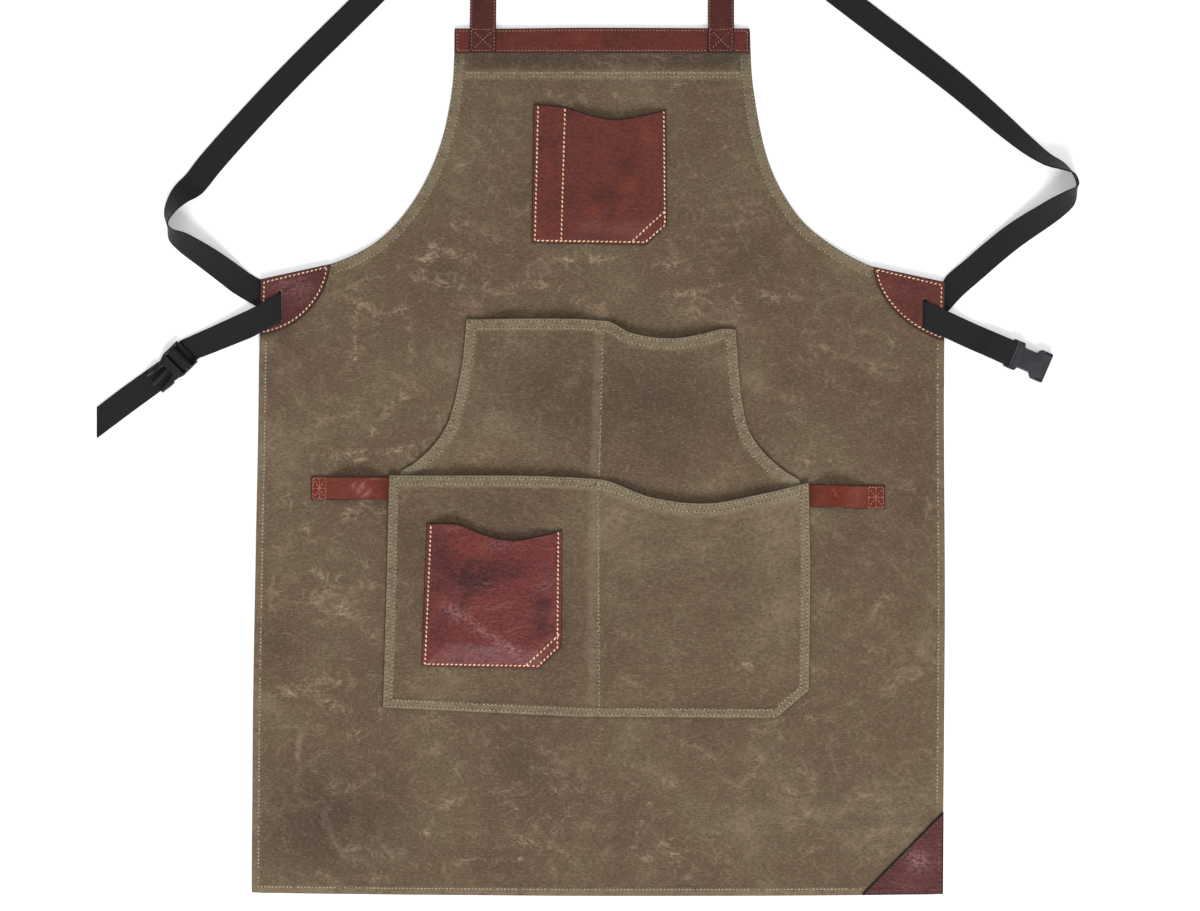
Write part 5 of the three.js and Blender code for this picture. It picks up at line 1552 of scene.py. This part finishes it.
def webbing_piece(name, stations):
    """A rounded flat outline carried through the stations, with a UV map of metres across and along."""
    edges = centripetal(stations, 4)
    middle = (edges[:, :3] + edges[:, 3:]) / 2
    across = (edges[:, :3] - edges[:, 3:]) / (2 * HALF_WEBBING)
    outline = strap_outline(2 * HALF_WEBBING, WEBBING_THICK)
    up = unit(np.cross(across, directions(middle)))
    piece = new_mesh(name, *carried_profile(middle, across, up, outline))
    run = run_lengths(middle)
    place = np.stack(np.broadcast_arrays(outline[:, 0], run[:, None]), axis=2).reshape(-1, 2) * MM
    corner = np.zeros(len(piece.data.loops), np.int32)
    piece.data.loops.foreach_get("vertex_index", corner)
    uv = piece.data.uv_layers.new(name="weave")
    uv.data.foreach_set("uv", place[corner].astype(np.float32).ravel())
    print(name, "is", round(run[-1]), "mm long")
    return finish_piece(piece, black_webbing, "black_webbing", name)


print("a place 10 mm along a buckle half and 5 above it:", in_buckle((0, 0, 0, 1), 10.0, 0.0, 5.0))

# %% Left webbing, with the buckle's plug half and a loose tail
SLOT_LEFT = (-319.9, 169.5, 0.876, -0.482)
PLUG_PLACE = (-410, 122.5, -0.71, -0.704)
LEFT_ROWS = [
    (121.6, 636, 0, 0), (121.6, 740, 0, 0), (121.2, 778, 35, 0), (116, 802, 75, 0), (105, 810, 85, 0),
    (90, 803, 65, 0), (62, 779, 25, 0), (34.3, 741.3, 0, 0), (-27.8, 659.1, 0, 0), (-113, 581.8, 0, 0),
    (-171.6, 532, 0, 0), (-231.8, 472, 0, 0),
    (-316, 388, 0, 0), (-387, 310, 0, 0), (-404, 288.5, 5, 0), (-414.5, 279.5, 26, 0), (-423, 268.5, 46, 0),
    (-427.6, 258, 62, 0), (-428, 246.5, 82, 0), (-423.5, 237, 60, 0), (-413, 230, 40, 0),
    (-388, 213.5, 20, 0), (-356, 190, 0, 0.1),
]
# distance along the plug and height: under the rear bar, over the ladder bar and out below the prongs
PLUG_THREAD = [
    (-2.5, 1.15), (3.6, 1.15), (5.6, 2.6), (7.4, 4.7), (9, 5.45), (10.6, 5.55), (12.2, 5.45), (13.8, 4.7),
    (15.6, 2.6), (17.6, 1.1), (24, 0.95),
]
LEFT_SAG = 1.2
bend = np.array([-468, 76])
fall = np.array([-500, 51.5]) - bend
square = HALF_WEBBING * np.array([fall[1], -fall[0]]) / np.hypot(*fall)
TAIL = [[*(bend + square), 0.8, *(bend - square), 0.8], [-500.5, 67.2, 0.8, -500.5, 35.9, 0.8]]
through_plug = bridged(threaded(PLUG_PLACE, PLUG_THREAD, -1), np.array(TAIL))
to_plug = bridged(folded(SLOT_LEFT, 1), through_plug, LEFT_SAG)
webbing_piece("webbing_left", np.vstack([laid(LEFT_ROWS, 1), to_plug]))

# %% Right webbing, sewn back on itself round the bar of the buckle's socket half
SLOT_RIGHT = (324.1, 161.7, -0.911, -0.411)
SOCKET_PLACE = (406.2, 121.4, 0.918, -0.396)
SOCKET_BAR = (2.5, 4.0, 1.4)
RIGHT_ROWS = [
    (-115.4, 636, 0, 0), (-115.4, 690, 0, 0), (-115, 718, 35, 0), (-110, 739, 75, 0), (-100, 746, 85, 0),
    (-86, 738, 65, 0.6), (-64, 717, 22, 2), (-29, 687, 0, 2.1), (12, 653, 0, 2), (60, 615, 0, 0),
    (121.6, 567.6, 0, 0), (244.8, 472, 0, 0), (351, 390, 12, 0), (398, 349, 25, 0), (424, 326.5, 38, 0),
    (443.5, 312.5, 52, 0), (459, 305.5, 66, 0), (469.5, 297.5, 82, 0), (473, 286.5, 84, 0),
    (466, 274.5, 50, 0), (452, 264, 30, 0), (409, 235.5, 6, 0), (352, 187, 0, 0.15),
]
RIGHT_SAG = 3.2
bar_x, bar_z, bar_radius = SOCKET_BAR
wrap = bar_radius + GAP + WEBBING_THICK / 2
angle = np.pi / 2 - np.linspace(0, np.pi, 9)
round_bar = np.column_stack([bar_x + wrap * np.cos(angle), bar_z + wrap * np.sin(angle)])
SOCKET_THREAD = [(-22, bar_z + wrap), *round_bar, (-4, 1.7), (-9, 3.2), (-13, 4.4), (-21, 4.5)]
round_socket = threaded(SOCKET_PLACE, SOCKET_THREAD, 1)
to_socket = bridged(folded(SLOT_RIGHT, -1), round_socket, RIGHT_SAG)
webbing_piece("webbing_right", np.vstack([laid(RIGHT_ROWS, -1), to_socket]))

# %% [markdown]
# ## Buckle halves
# A side-release buckle is moulded plastic: plates of even thickness with softly rounded edges, and those
# edges are what catches the light. Each half is a set of plates, and a plate is an outline whose rings step
# in at the top and the bottom like a rounded edge. The plug is glossier than the socket, which has been
# rubbed grey.

# %% Black plastic's finish
def black_plastic(name, ground, rubbed, roughness):
    """Moulded plastic: fine grain in the roughness and the bump, and cloudy rubbing in the colour."""
    material, tree, shader = new_material(name, Specular_IOR_Level=0.5)
    place = object_place(tree)
    grain = noise(tree, place, 2600.0, 3.0, 0.6)
    cloud = noise(tree, place, 90.0, 6.0, 0.65)
    base = painted(tree, colour(ground), [
        (cloud, 0.35, 0.7, 1.0, colour(rubbed)),
        (grain, 0.55, 0.8, 0.25, colour(rubbed)),
    ])
    rough = number(tree, "ADD", mask(tree, cloud, 0.3, 0.8, 0.15), roughness)
    surfaced(tree, shader, base, rough, number(tree, "ADD", grain, cloud), 0.00006, 0.6)
    print("finish:", name)
    return material


plug_plastic = black_plastic("plug_plastic", "121215", "1d1d21", 0.24)
socket_plastic = black_plastic("socket_plastic", "222126", "2f2d33", 0.42)

# %% Plates with rounded edges
def rounded_corners(corners, cut):
    """A closed outline whose corners are bent: each is a parabola between points a cut's length from it."""
    p = np.asarray(corners, float)
    before = np.roll(p, 1, axis=0) - p
    after = np.roll(p, -1, axis=0) - p
    before = before * np.minimum(cut / np.linalg.norm(before, axis=1), 0.45)[:, None]
    after = after * np.minimum(cut / np.linalg.norm(after, axis=1), 0.45)[:, None]
    t = np.linspace(0, 1, 5)[None, :, None]
    bend = p[:, None] + before[:, None] * (1 - t) ** 2 + after[:, None] * t ** 2
    return bend.reshape(-1, 2)


def plate(corners, low, high, edge, cut=0.7):
    """Rings of an outline that step in by edge * (1 - cos) at the bottom and the top, with two flat caps."""
    ring = rounded_corners(corners, cut)
    ahead = np.roll(ring, -1, axis=0)
    area = np.sum(ring[:, 0] * ahead[:, 1] - ring[:, 1] * ahead[:, 0])
    along = ahead - np.roll(ring, 1, axis=0)
    out = unit(np.column_stack([along[:, 1], -along[:, 0]]) * np.sign(area))
    turn = np.radians([-90, -90, -60, -30, 0, 0, 30, 60, 90, 90])
    step_in = edge * (1 - np.cos(turn))
    step_in[[0, -1]] += 0.3 * edge
    up = np.where(turn < 0, low, high) + edge * (np.sin(turn) - np.sign(turn))
    up[4] = low + edge
    up[5] = high - edge
    place = ring[None] - out[None] * step_in[:, None, None]
    height = np.broadcast_to(up[:, None, None], (*place.shape[:2], 1))
    points = np.concatenate([place, height], axis=2).reshape(-1, 3)
    quads = ring_quads(len(turn), len(ring))
    foot = np.arange(len(ring))
    top = foot + (len(turn) - 1) * len(ring)
    if area < 0:
        return points, quads[:, ::-1], [foot, top[::-1]]
    return points, quads, [foot[::-1], top]


def box_corners(x0, x1, y0, y1):
    """The four corners of a box's plan."""
    return [(x0, y0), (x1, y0), (x1, y1), (x0, y1)]


def both_sides(half):
    """A closed outline from its half on the positive side."""
    return half + [(x, -y) for x, y in reversed(half)]


def plate_pair(x0, x1, y0, y1, *levels):
    """Two plates on boxes that mirror each other across a buckle half's middle line."""
    return [plate(box_corners(x0, x1, *span), *levels) for span in ((y0, y1), (-y1, -y0))]


def buckle_piece(name, place, plates, material):
    """Joins plates into one mesh, turned along the buckle half's heading."""
    points, quads, caps = [], [], []
    count = 0
    for part, faces, ends in plates:
        points.append(in_buckle(place, *part.T))
        quads.append(faces + count)
        caps += [end + count for end in ends]
        count += len(part)
    piece = new_mesh(name, np.concatenate(points), np.concatenate(quads), caps)
    return finish_piece(piece, material, "black_plastic", name)


print("a plain plate has", len(plate(box_corners(0, 1, 0, 1), 0, 1, 0.2)[0]), "points")

# %% Plug half: frame with a rear bar and a ladder bar, fork with two prongs and a guide
PLUG_CROSS = [(18, 14.6), (20, 14.6), (26.5, 12.2)]
PLUG_GUIDE = [(25.5, 2.4), (48, 1.8)]
PRONG_ARM = [(25.5, 12.4), (31.2, 11.2), (31.2, 7.3), (25.5, 6.1)]
PRONG_HEAD = [(30.5, 13.4), (36.5, 13.4), (47, 12), (46, 9.2), (30.5, 7.2)]
PRONG_BARB = [(30.9, 10.2), (31, 13.1), (36.4, 13.1), (46.4, 11.8), (45.6, 9.9), (38, 8.9)]
RAIL = (13.05, 14.6)
FOOT_GAP = 0.2
# low side, high side and rounded edge of the fork's flat plates, and of the barbs on the prongs
FORK = (2.1, 4.4, 0.45)
BARB = (2.6, 6.4, 0.9)
prongs = []
for side in (1, -1):
    for outline, levels in ((PRONG_ARM, FORK), (PRONG_HEAD, FORK), (PRONG_BARB, BARB)):
        prongs.append(plate([(x, side * y) for x, y in outline], *levels))
buckle_piece("buckle_plug", PLUG_PLACE, prongs + [
    plate(both_sides(PLUG_CROSS), *FORK),
    plate(both_sides(PLUG_GUIDE), *FORK),
    *plate_pair(0, 20, *RAIL, FOOT_GAP, 6.6, 0.5),
    plate(box_corners(0, 3.4, -14.4, 14.4), 2.4, 6.2, 1.2),
    plate(box_corners(18.2, 19.6, -13.2, 13.2), 2.4, 6.5, 0.5),
    plate(box_corners(9.35, 11.85, -14.4, 14.4), 1.85, 4.35, 1.2),
    plate(box_corners(22, 47.4, -1.3, 1.3), 2.6, 6.2, 0.5, 1.0),
], plug_plastic)

# %% Socket half: rails and a bar for the webbing, waisted neck, wide head with an open mouth
SOCKET_NECK = [(6.5, 14.6), (11.5, 14.6), (13, 10.4), (26, 10.4), (29, 15.2), (41.5, 15.2)]
SOCKET_REAR = [(6.5, 14.2), (11.2, 14.2), (12.6, 10.2), (14, 10.2)]
SOCKET_WALL = [(26.6, 12.4), (29.2, 15.1), (41.3, 15.1), (41.3, 12.4)]
buckle_piece("buckle_socket", SOCKET_PLACE, [
    plate(both_sides(SOCKET_NECK), 6.3, 8, 0.5, 1.0),
    plate(both_sides(SOCKET_NECK), FOOT_GAP, 1.7, 0.5, 1.0),
    plate(both_sides(SOCKET_REAR), 1, 7, 0.2),
    *plate_pair(0, 11, *RAIL, FOOT_GAP, 8, 0.5),
    plate(box_corners(1.1, 3.9, -14.4, 14.4), 2.6, 5.4, 1.35),
    plate(SOCKET_WALL, 1, 7, 0.2),
    plate([(x, -y) for x, y in SOCKET_WALL], 1, 7, 0.2),
    *plate_pair(33.5, 40.5, 12.6, 14.2, 7.4, 8, 0.3, 0.5),
], socket_plastic)

# %% [markdown]
# ## Stitches
# Every seam is sewn, and the thread is what the eye follows: cream on the pockets and side patches, khaki in
# double rows on the canvas, worn flecks along the hems and a thread of the leather's own tone on the band.
# A stitch is a small grain, thick in the middle and tapered at both ends, that arches over the cloth and
# lies a little across its seam. All the stitches of a piece are one mesh made from whole arrays: the places
# along the seams, times the rings of a grain, times the sides of a ring. A dark bead at each hole is painted
# shade for the hole's hollow.

# %% Thread and needle holes
def thread(name, light, dark):
    """Sewing thread: its tone differs from stitch to stitch, with a fine hairy grain."""
    material, tree, shader = new_material(name, Specular_IOR_Level=0.25, Sheen_Weight=0.1)
    hair = noise(tree, object_place(tree), 1500.0, 3.0, 0.7)
    tone = number(tree, "ADD", stored(tree, "tone"), mask(tree, hair, 0.4, 0.75, 0.35))
    base = mixed(tree, tone, colour(light), colour(dark))
    rough = number(tree, "ADD", mask(tree, hair, 0.3, 0.8, 0.2), 0.6)
    surfaced(tree, shader, base, rough, hair, 0.0002, 0.7)
    return material


CREAM = thread("cream_thread", "f5dab5", "cda57a")
KHAKI = thread("khaki_thread", "9d9478", "786e56")
FLECK = thread("hem_thread", "bdb09a", "8d8069")
ROSE = thread("rose_thread", "a8786c", "7d4f46")
PINK = thread("pink_thread", "aa766b", "7c463d")
WINE = thread("wine_thread", "7a4448", "4f2a2c")
BLACK = thread("black_thread", "18181b", "0b0b0d")
# dark beads at the needle holes: painted shade for the holes' hollows
HOLE_SHADE = thread("needle_hole_shade", "2a201a", "1c1512")
print("threads:", [material.name for material in (CREAM, KHAKI, FLECK, ROSE, PINK, WINE, BLACK)])

# %% Grains
RING_SIDES = 6
GRAIN_RINGS = np.array([(-0.5, 0.3), (-0.34, 0.85), (0.0, 1.0), (0.34, 0.85), (0.5, 0.3)])
BEAD_RINGS = np.array([(-0.5, 0.4), (0.0, 1.0), (0.5, 0.4)])


def grains(middle, along, size, rings, height_at, arch):
    """Points and quads of many small grains.

    A ring at u along a grain of length L, width W and thickness T lies at middle + along * u * L, at the
    surface's height plus arch * (1 - (2u)^2), and is an ellipse of W by T times the ring's own share.
    """
    length, width, thick = size
    u, share = rings.T
    side = np.stack([-along[:, 1], along[:, 0]], axis=1)
    turn = np.linspace(0, 2 * np.pi, RING_SIDES, endpoint=False)
    spine = middle[:, None] + along[:, None] * (u[:, None] * length[:, None, None])
    height = height_at(spine[..., 0], spine[..., 1]) + arch * (1 - (2 * u) ** 2)
    reach = share[:, None] * np.cos(turn) * width / 2
    plan = spine[:, :, None] + side[:, None, None] * reach[None, :, :, None]
    up = height[:, :, None] + (share[:, None] * np.sin(turn) * thick / 2)[None]
    points = np.concatenate([plan, up[..., None]], axis=3)
    cap = np.array([(0, 1, 2, 3), (0, 3, 4, 5)])
    skin = ring_quads(len(u), RING_SIDES)
    one = np.concatenate([skin, cap[:, ::-1], cap + (len(u) - 1) * RING_SIDES])
    start = np.arange(len(middle))[:, None, None] * len(u) * RING_SIDES
    return points.reshape(-1, 3), (one + start).reshape(-1, 4)


print("a stitch has", len(GRAIN_RINGS) * RING_SIDES, "points")

# %% Rows of stitches
STITCH_ARCH = 0.22
BEAD_THICK = 0.3
SCATTER = 4


def sewn(name, slot, thread_material, rows, pitch, size, slant, seed, worn=0.0, zigzag=False, beads=0.8):
    """Sews rows of (seam line, height function): one mesh of stitches, with a dark bead of painted shade at
    each needle hole.

    Stitches are a pitch apart, turned by the slant with a little scatter, and a worn share is left out. size
    is a stitch's length as a share of the pitch, its width and its thickness, and beads is a bead's width.
    """
    random = np.random.default_rng(seed)
    points, quads, tones, holes = [], [], [], []
    count = 0
    for line, height_at in rows:
        line = np.asarray(line, float)
        total = run_lengths(line)[-1]
        stitches = max(1, round(total / pitch))
        step = total / stitches
        at = np.arange(stitches)
        centre = points_along(line, (at + 0.5) * step)
        ahead = points_along(line, (at + 0.9) * step) - points_along(line, (at + 0.1) * step)
        sign = np.where(at % 2, 1, -1) if zigzag else 1
        turn = np.radians(sign * slant + random.normal(0, SCATTER, stitches))
        angle = np.arctan2(ahead[:, 1], ahead[:, 0]) + turn
        length = step * size[0] * random.uniform(0.9, 1.08, stitches)
        tone = random.uniform(0, 0.75, stitches)
        kept = random.random(stitches) >= worn
        along = np.stack([np.cos(angle), np.sin(angle)], axis=1)[kept]
        grain_size = (length[kept], size[1], size[2])
        part = grains(centre[kept], along, grain_size, GRAIN_RINGS, height_at, STITCH_ARCH)
        sets = [(part, tone[kept], GRAIN_RINGS, False)]
        if beads:
            place = points_along(line, np.arange(stitches + 1) * step)
            across = np.tile([1.0, 0.0], (stitches + 1, 1))
            bead_size = (np.full(stitches + 1, beads), beads, BEAD_THICK)
            bead = grains(place, across, bead_size, BEAD_RINGS, height_at, 0.0)
            sets.append((bead, np.full(stitches + 1, 0.5), BEAD_RINGS, True))
        for (grain_points, grain_quads), shade, rings, dark in sets:
            points.append(grain_points)
            quads.append(grain_quads + count)
            tones.append(np.repeat(shade, len(rings) * RING_SIDES))
            holes.append(np.full(len(grain_quads), dark))
            count += len(grain_points)
    piece = new_mesh(name, np.concatenate(points), np.concatenate(quads))
    point_values(piece, "tone", np.concatenate(tones))
    finish_piece(piece, thread_material, slot)
    # the beads get the dark hole material, painted shade
    piece.data.materials.append(HOLE_SHADE)
    piece.data.polygons.foreach_set("material_index", np.concatenate(holes).astype(np.int32))
    return piece


def on_panel(panel):
    """Height of a panel's front as a function of place alone."""
    return lambda x, y: panel_front(panel, x, y)[0] + 0.1


def level(height):
    """The same height everywhere."""
    return lambda x, y: height + 0 * x


print("a bead is", BEAD_THICK, "mm thick, and a stitch arches by", STITCH_ARCH, "mm")

# %% Stitches on the canvas
PAST_PATCH = 2
ABOVE_FOOT = 8
FOOT_START, FOOT_END = 4, 266


def hem_top(x, y):
    """Height of the stitches on a hem, sunk a little into it."""
    return lie(x, y) + CANVAS + HEM_RISE - 0.15


def body_seam(edge, inward, depth, first, last):
    """A seam at a depth inside a side of the body, between two rows."""
    return (edge + depth * inward)[first:last]


def bare_spans(edge):
    """First and last row of an edge that no leather covers, on the armhole and on the side below it."""
    is_bare = bare_of_leather(edge[:, 0], edge[:, 1]) > 0.5
    side_row = corner_row + 1
    arm = np.flatnonzero(is_bare[:side_row])
    flank = side_row + np.flatnonzero(is_bare[side_row:])
    return (arm[0], arm[-1] + PAST_PATCH), (flank[0], flank[-1])


arm_left, (flank_left, foot_left) = bare_spans(left_edge)
arm_right, flank_right = bare_spans(right_edge)
arm_rows = []
for depth in ARM_SEAMS:
    arm_rows.append((body_seam(left_edge, left_in, depth, *arm_left), hem_top))
    arm_rows.append((body_seam(right_edge, right_in, depth, *arm_right), hem_top))
facing_rows = [(np.array([(-134.0, y), (138.0, y)]), hem_top) for y in (399.6, 395.8)]
sewn("stitches_armholes", "waxed_canvas", KHAKI, arm_rows + facing_rows, 3.9, (0.9, 1.3, 0.7),
     slant=26, seed=11, worn=0.08, zigzag=True, beads=1.1)
foot_rows = row_to_hem[::-1]
k = np.searchsorted(foot_rows, SIDE_SEAM)
f = (SIDE_SEAM - foot_rows[k - 1]) / (foot_rows[k] - foot_rows[k - 1])
foot_line = grid[k - 1] * (1 - f) + grid[k] * f
foot_line = foot_line[(foot_line[:, 0] > left_edge[-1, 0] + FOOT_START) & (foot_line[:, 0] < FOOT_END)]
hem_rows = [
    (body_seam(left_edge, left_in, SIDE_SEAM, flank_left, foot_left - ABOVE_FOOT), hem_top),
    (body_seam(right_edge, right_in, SIDE_SEAM, *flank_right), hem_top),
    (foot_line, hem_top),
]
sewn("stitches_hems", "waxed_canvas", FLECK, hem_rows, 3.6, (0.6, 1.5, 0.7),
     slant=0, seed=12, worn=0.12, beads=0.6)
for name, panel, seed in (("upper_pocket", upper, 13), ("lower_pocket", lower, 14)):
    rows = [(line, on_panel(panel)) for line in panel["seams"]]
    sewn(f"stitches_{name}", "waxed_canvas", KHAKI, rows, 3.9, (0.95, 1.5, 0.7),
         slant=30, seed=seed, worn=0.03, zigzag=True, beads=1.3)

# %% Stitches on the leather
# name, panels, slot, thread, pitch, size, slant, seed and width of a bead
LEATHER_SEAMS = [
    ("chest_pocket", [chest], "pocket_leather", CREAM, 4.5, (0.7, 1.55, 1.0), 16, 21, 1.1),
    ("patch_pocket", [patch], "pocket_leather", CREAM, 4.5, (0.7, 1.55, 1.0), 16, 22, 1.1),
    ("side_patches", [left_patch, right_patch], "pocket_leather", CREAM, 4.5, (0.62, 1.35, 0.9), 14, 23, 0.9),
    ("corner_patch", [corner_patch], "pocket_leather", WINE, 4.4, (0.7, 1.3, 0.8), 10, 24, 1.1),
    ("band", [band], "trim_leather", ROSE, 3.5, (0.62, 1.1, 0.75), 8, 25, 0.9),
]
for name, panels, slot, material, pitch, size, slant, seed, beads in LEATHER_SEAMS:
    rows = [(line, on_panel(panel)) for panel in panels for line in panel["seams"]]
    sewn(f"stitches_{name}", slot, material, rows, pitch, size, slant, seed, beads=beads)

# %% Stitches on the straps, the tool loops and the sewn end of the webbing
def strap_top(hand):
    """Height of a shoulder strap's seam at any place: its middle line's height there, plus half its wall."""
    line = strap_line(hand)
    return lambda x, y: np.interp(y, line[:, 1], line[:, 2]) + STRAP_LEATHER / 2 - 0.05


def box_lines(x0, x1, y0, y1, *inner):
    """The four sides of a sewn box, and more lines given as shares of its width and height."""
    corners = np.array([(x0, y0), (x1, y0), (x1, y1), (x0, y1), (x0, y0)], float)
    sides = [corners[k:k + 2] for k in range(4)]
    size = corners[2] - corners[0]
    return sides + [corners[0] + np.array(line) * size for line in inner]


CROSS = ([(0.12, 0.12), (0.88, 0.88)], [(0.12, 0.88), (0.88, 0.12)])
BOX_HALF = 11.2
BOX_LOW, BOX_HIGH = 421.2, 442.0
STRAP_SEAM_END = STRAP_END - 6
strap_rows = []
for hand, (foot, top) in STRAP_LINES.items():
    box = box_lines(foot - BOX_HALF, foot + BOX_HALF, BOX_LOW, BOX_HIGH, *CROSS)
    for side in (-BOX_HALF, BOX_HALF):
        box.append(np.array([(foot + side, BOX_HIGH), (top + side, STRAP_SEAM_END)]))
    strap_rows += [(line, strap_top(hand)) for line in box]
sewn("stitches_straps", "trim_leather", PINK, strap_rows, 3.3, (0.6, 0.95, 0.7), slant=12, seed=31, beads=0.9)

BARS = ([(0.0, 0.5), (1.0, 0.5)], [(0.5, 0.0), (0.5, 1.0)])
LOOP_BOXES = [(-285.2, -272.2, -24.0, -3.4), (266.6, 281.4, -32.8, -12.4)]


def loop_top(x, y):
    """Height of the stitches on a tool loop's sewn end, sunk a little into it."""
    return lie(x, y) + CANVAS + GAP + LOOP_THICK - 0.1


loop_rows = [(line, loop_top) for box in LOOP_BOXES for line in box_lines(*box, *BARS, *CROSS)]
sewn("stitches_loops", "trim_leather", PINK, loop_rows, 3.1, (0.75, 1.2, 0.8), slant=18, seed=32, beads=1.0)

TACK = [np.array([(-4.2, y), (1.2, y)]) for y in np.arange(-6.5, -13.0, -1.3)]
tack_rows = [(line, on_panel(lower)) for line in TACK]
sewn("stitches_tack", "waxed_canvas", KHAKI, tack_rows, 5.4, (0.9, 1.0, 0.7), slant=0, seed=33)

WEBBING_SEAMS = (-14.0, -19.0)
SEAM_ACROSS = np.array([-10.5, 10.5])
seam_top = bar_z + wrap + WEBBING_THICK / 2
seam_rows = []
for along in WEBBING_SEAMS:
    ends = in_buckle(SOCKET_PLACE, along, SEAM_ACROSS, 0.0)
    seam_rows.append((ends[:, :2], level(seam_top)))
sewn("stitches_webbing", "black_webbing", BLACK, seam_rows, 3.2, (0.7, 1.5, 0.8), slant=0, seed=34, beads=0)
print("threads sewn on the straps, loops and webbing")

# %% [markdown]
# ## How large each cut of cloth was
# A sheet of cloth keeps its area however it lies, so the flat size of each cut is listed: the width and
# length that the cut needs, and its own area, which is less because the armholes and the pockets' curved
# sides are cut away, printed beside half the area of its mesh. The body lies on the floor and each pocket on
# what is behind it.

# %% The three cuts of canvas
def flat_area(width, length, cut_away):
    """Area of a cut in square metres: its rectangle less the share that is cut away."""
    return width * length * (1 - cut_away)


CUTS = {
    "apron_body": ((0.69, 0.86), 0.13, ["floor"], ["stitches_armholes", "stitches_hems"]),
    "upper_pocket": ((0.40, 0.187), 0.22, ["apron_body"], ["stitches_upper_pocket"]),
    "lower_pocket": ((0.425, 0.243), 0.05, ["apron_body", "upper_pocket"],
                     ["stitches_lower_pocket", "stitches_tack"]),
}
for name, (flat, cut_away, below, threads) in CUTS.items():
    cut = bpy.data.objects[f"{name}_look"]
    half_skin = sum(face.area for face in cut.data.polygons) / 2
    print(name, "flat", round(flat_area(*flat, cut_away), 4), "lying", round(half_skin, 4), "square metres")
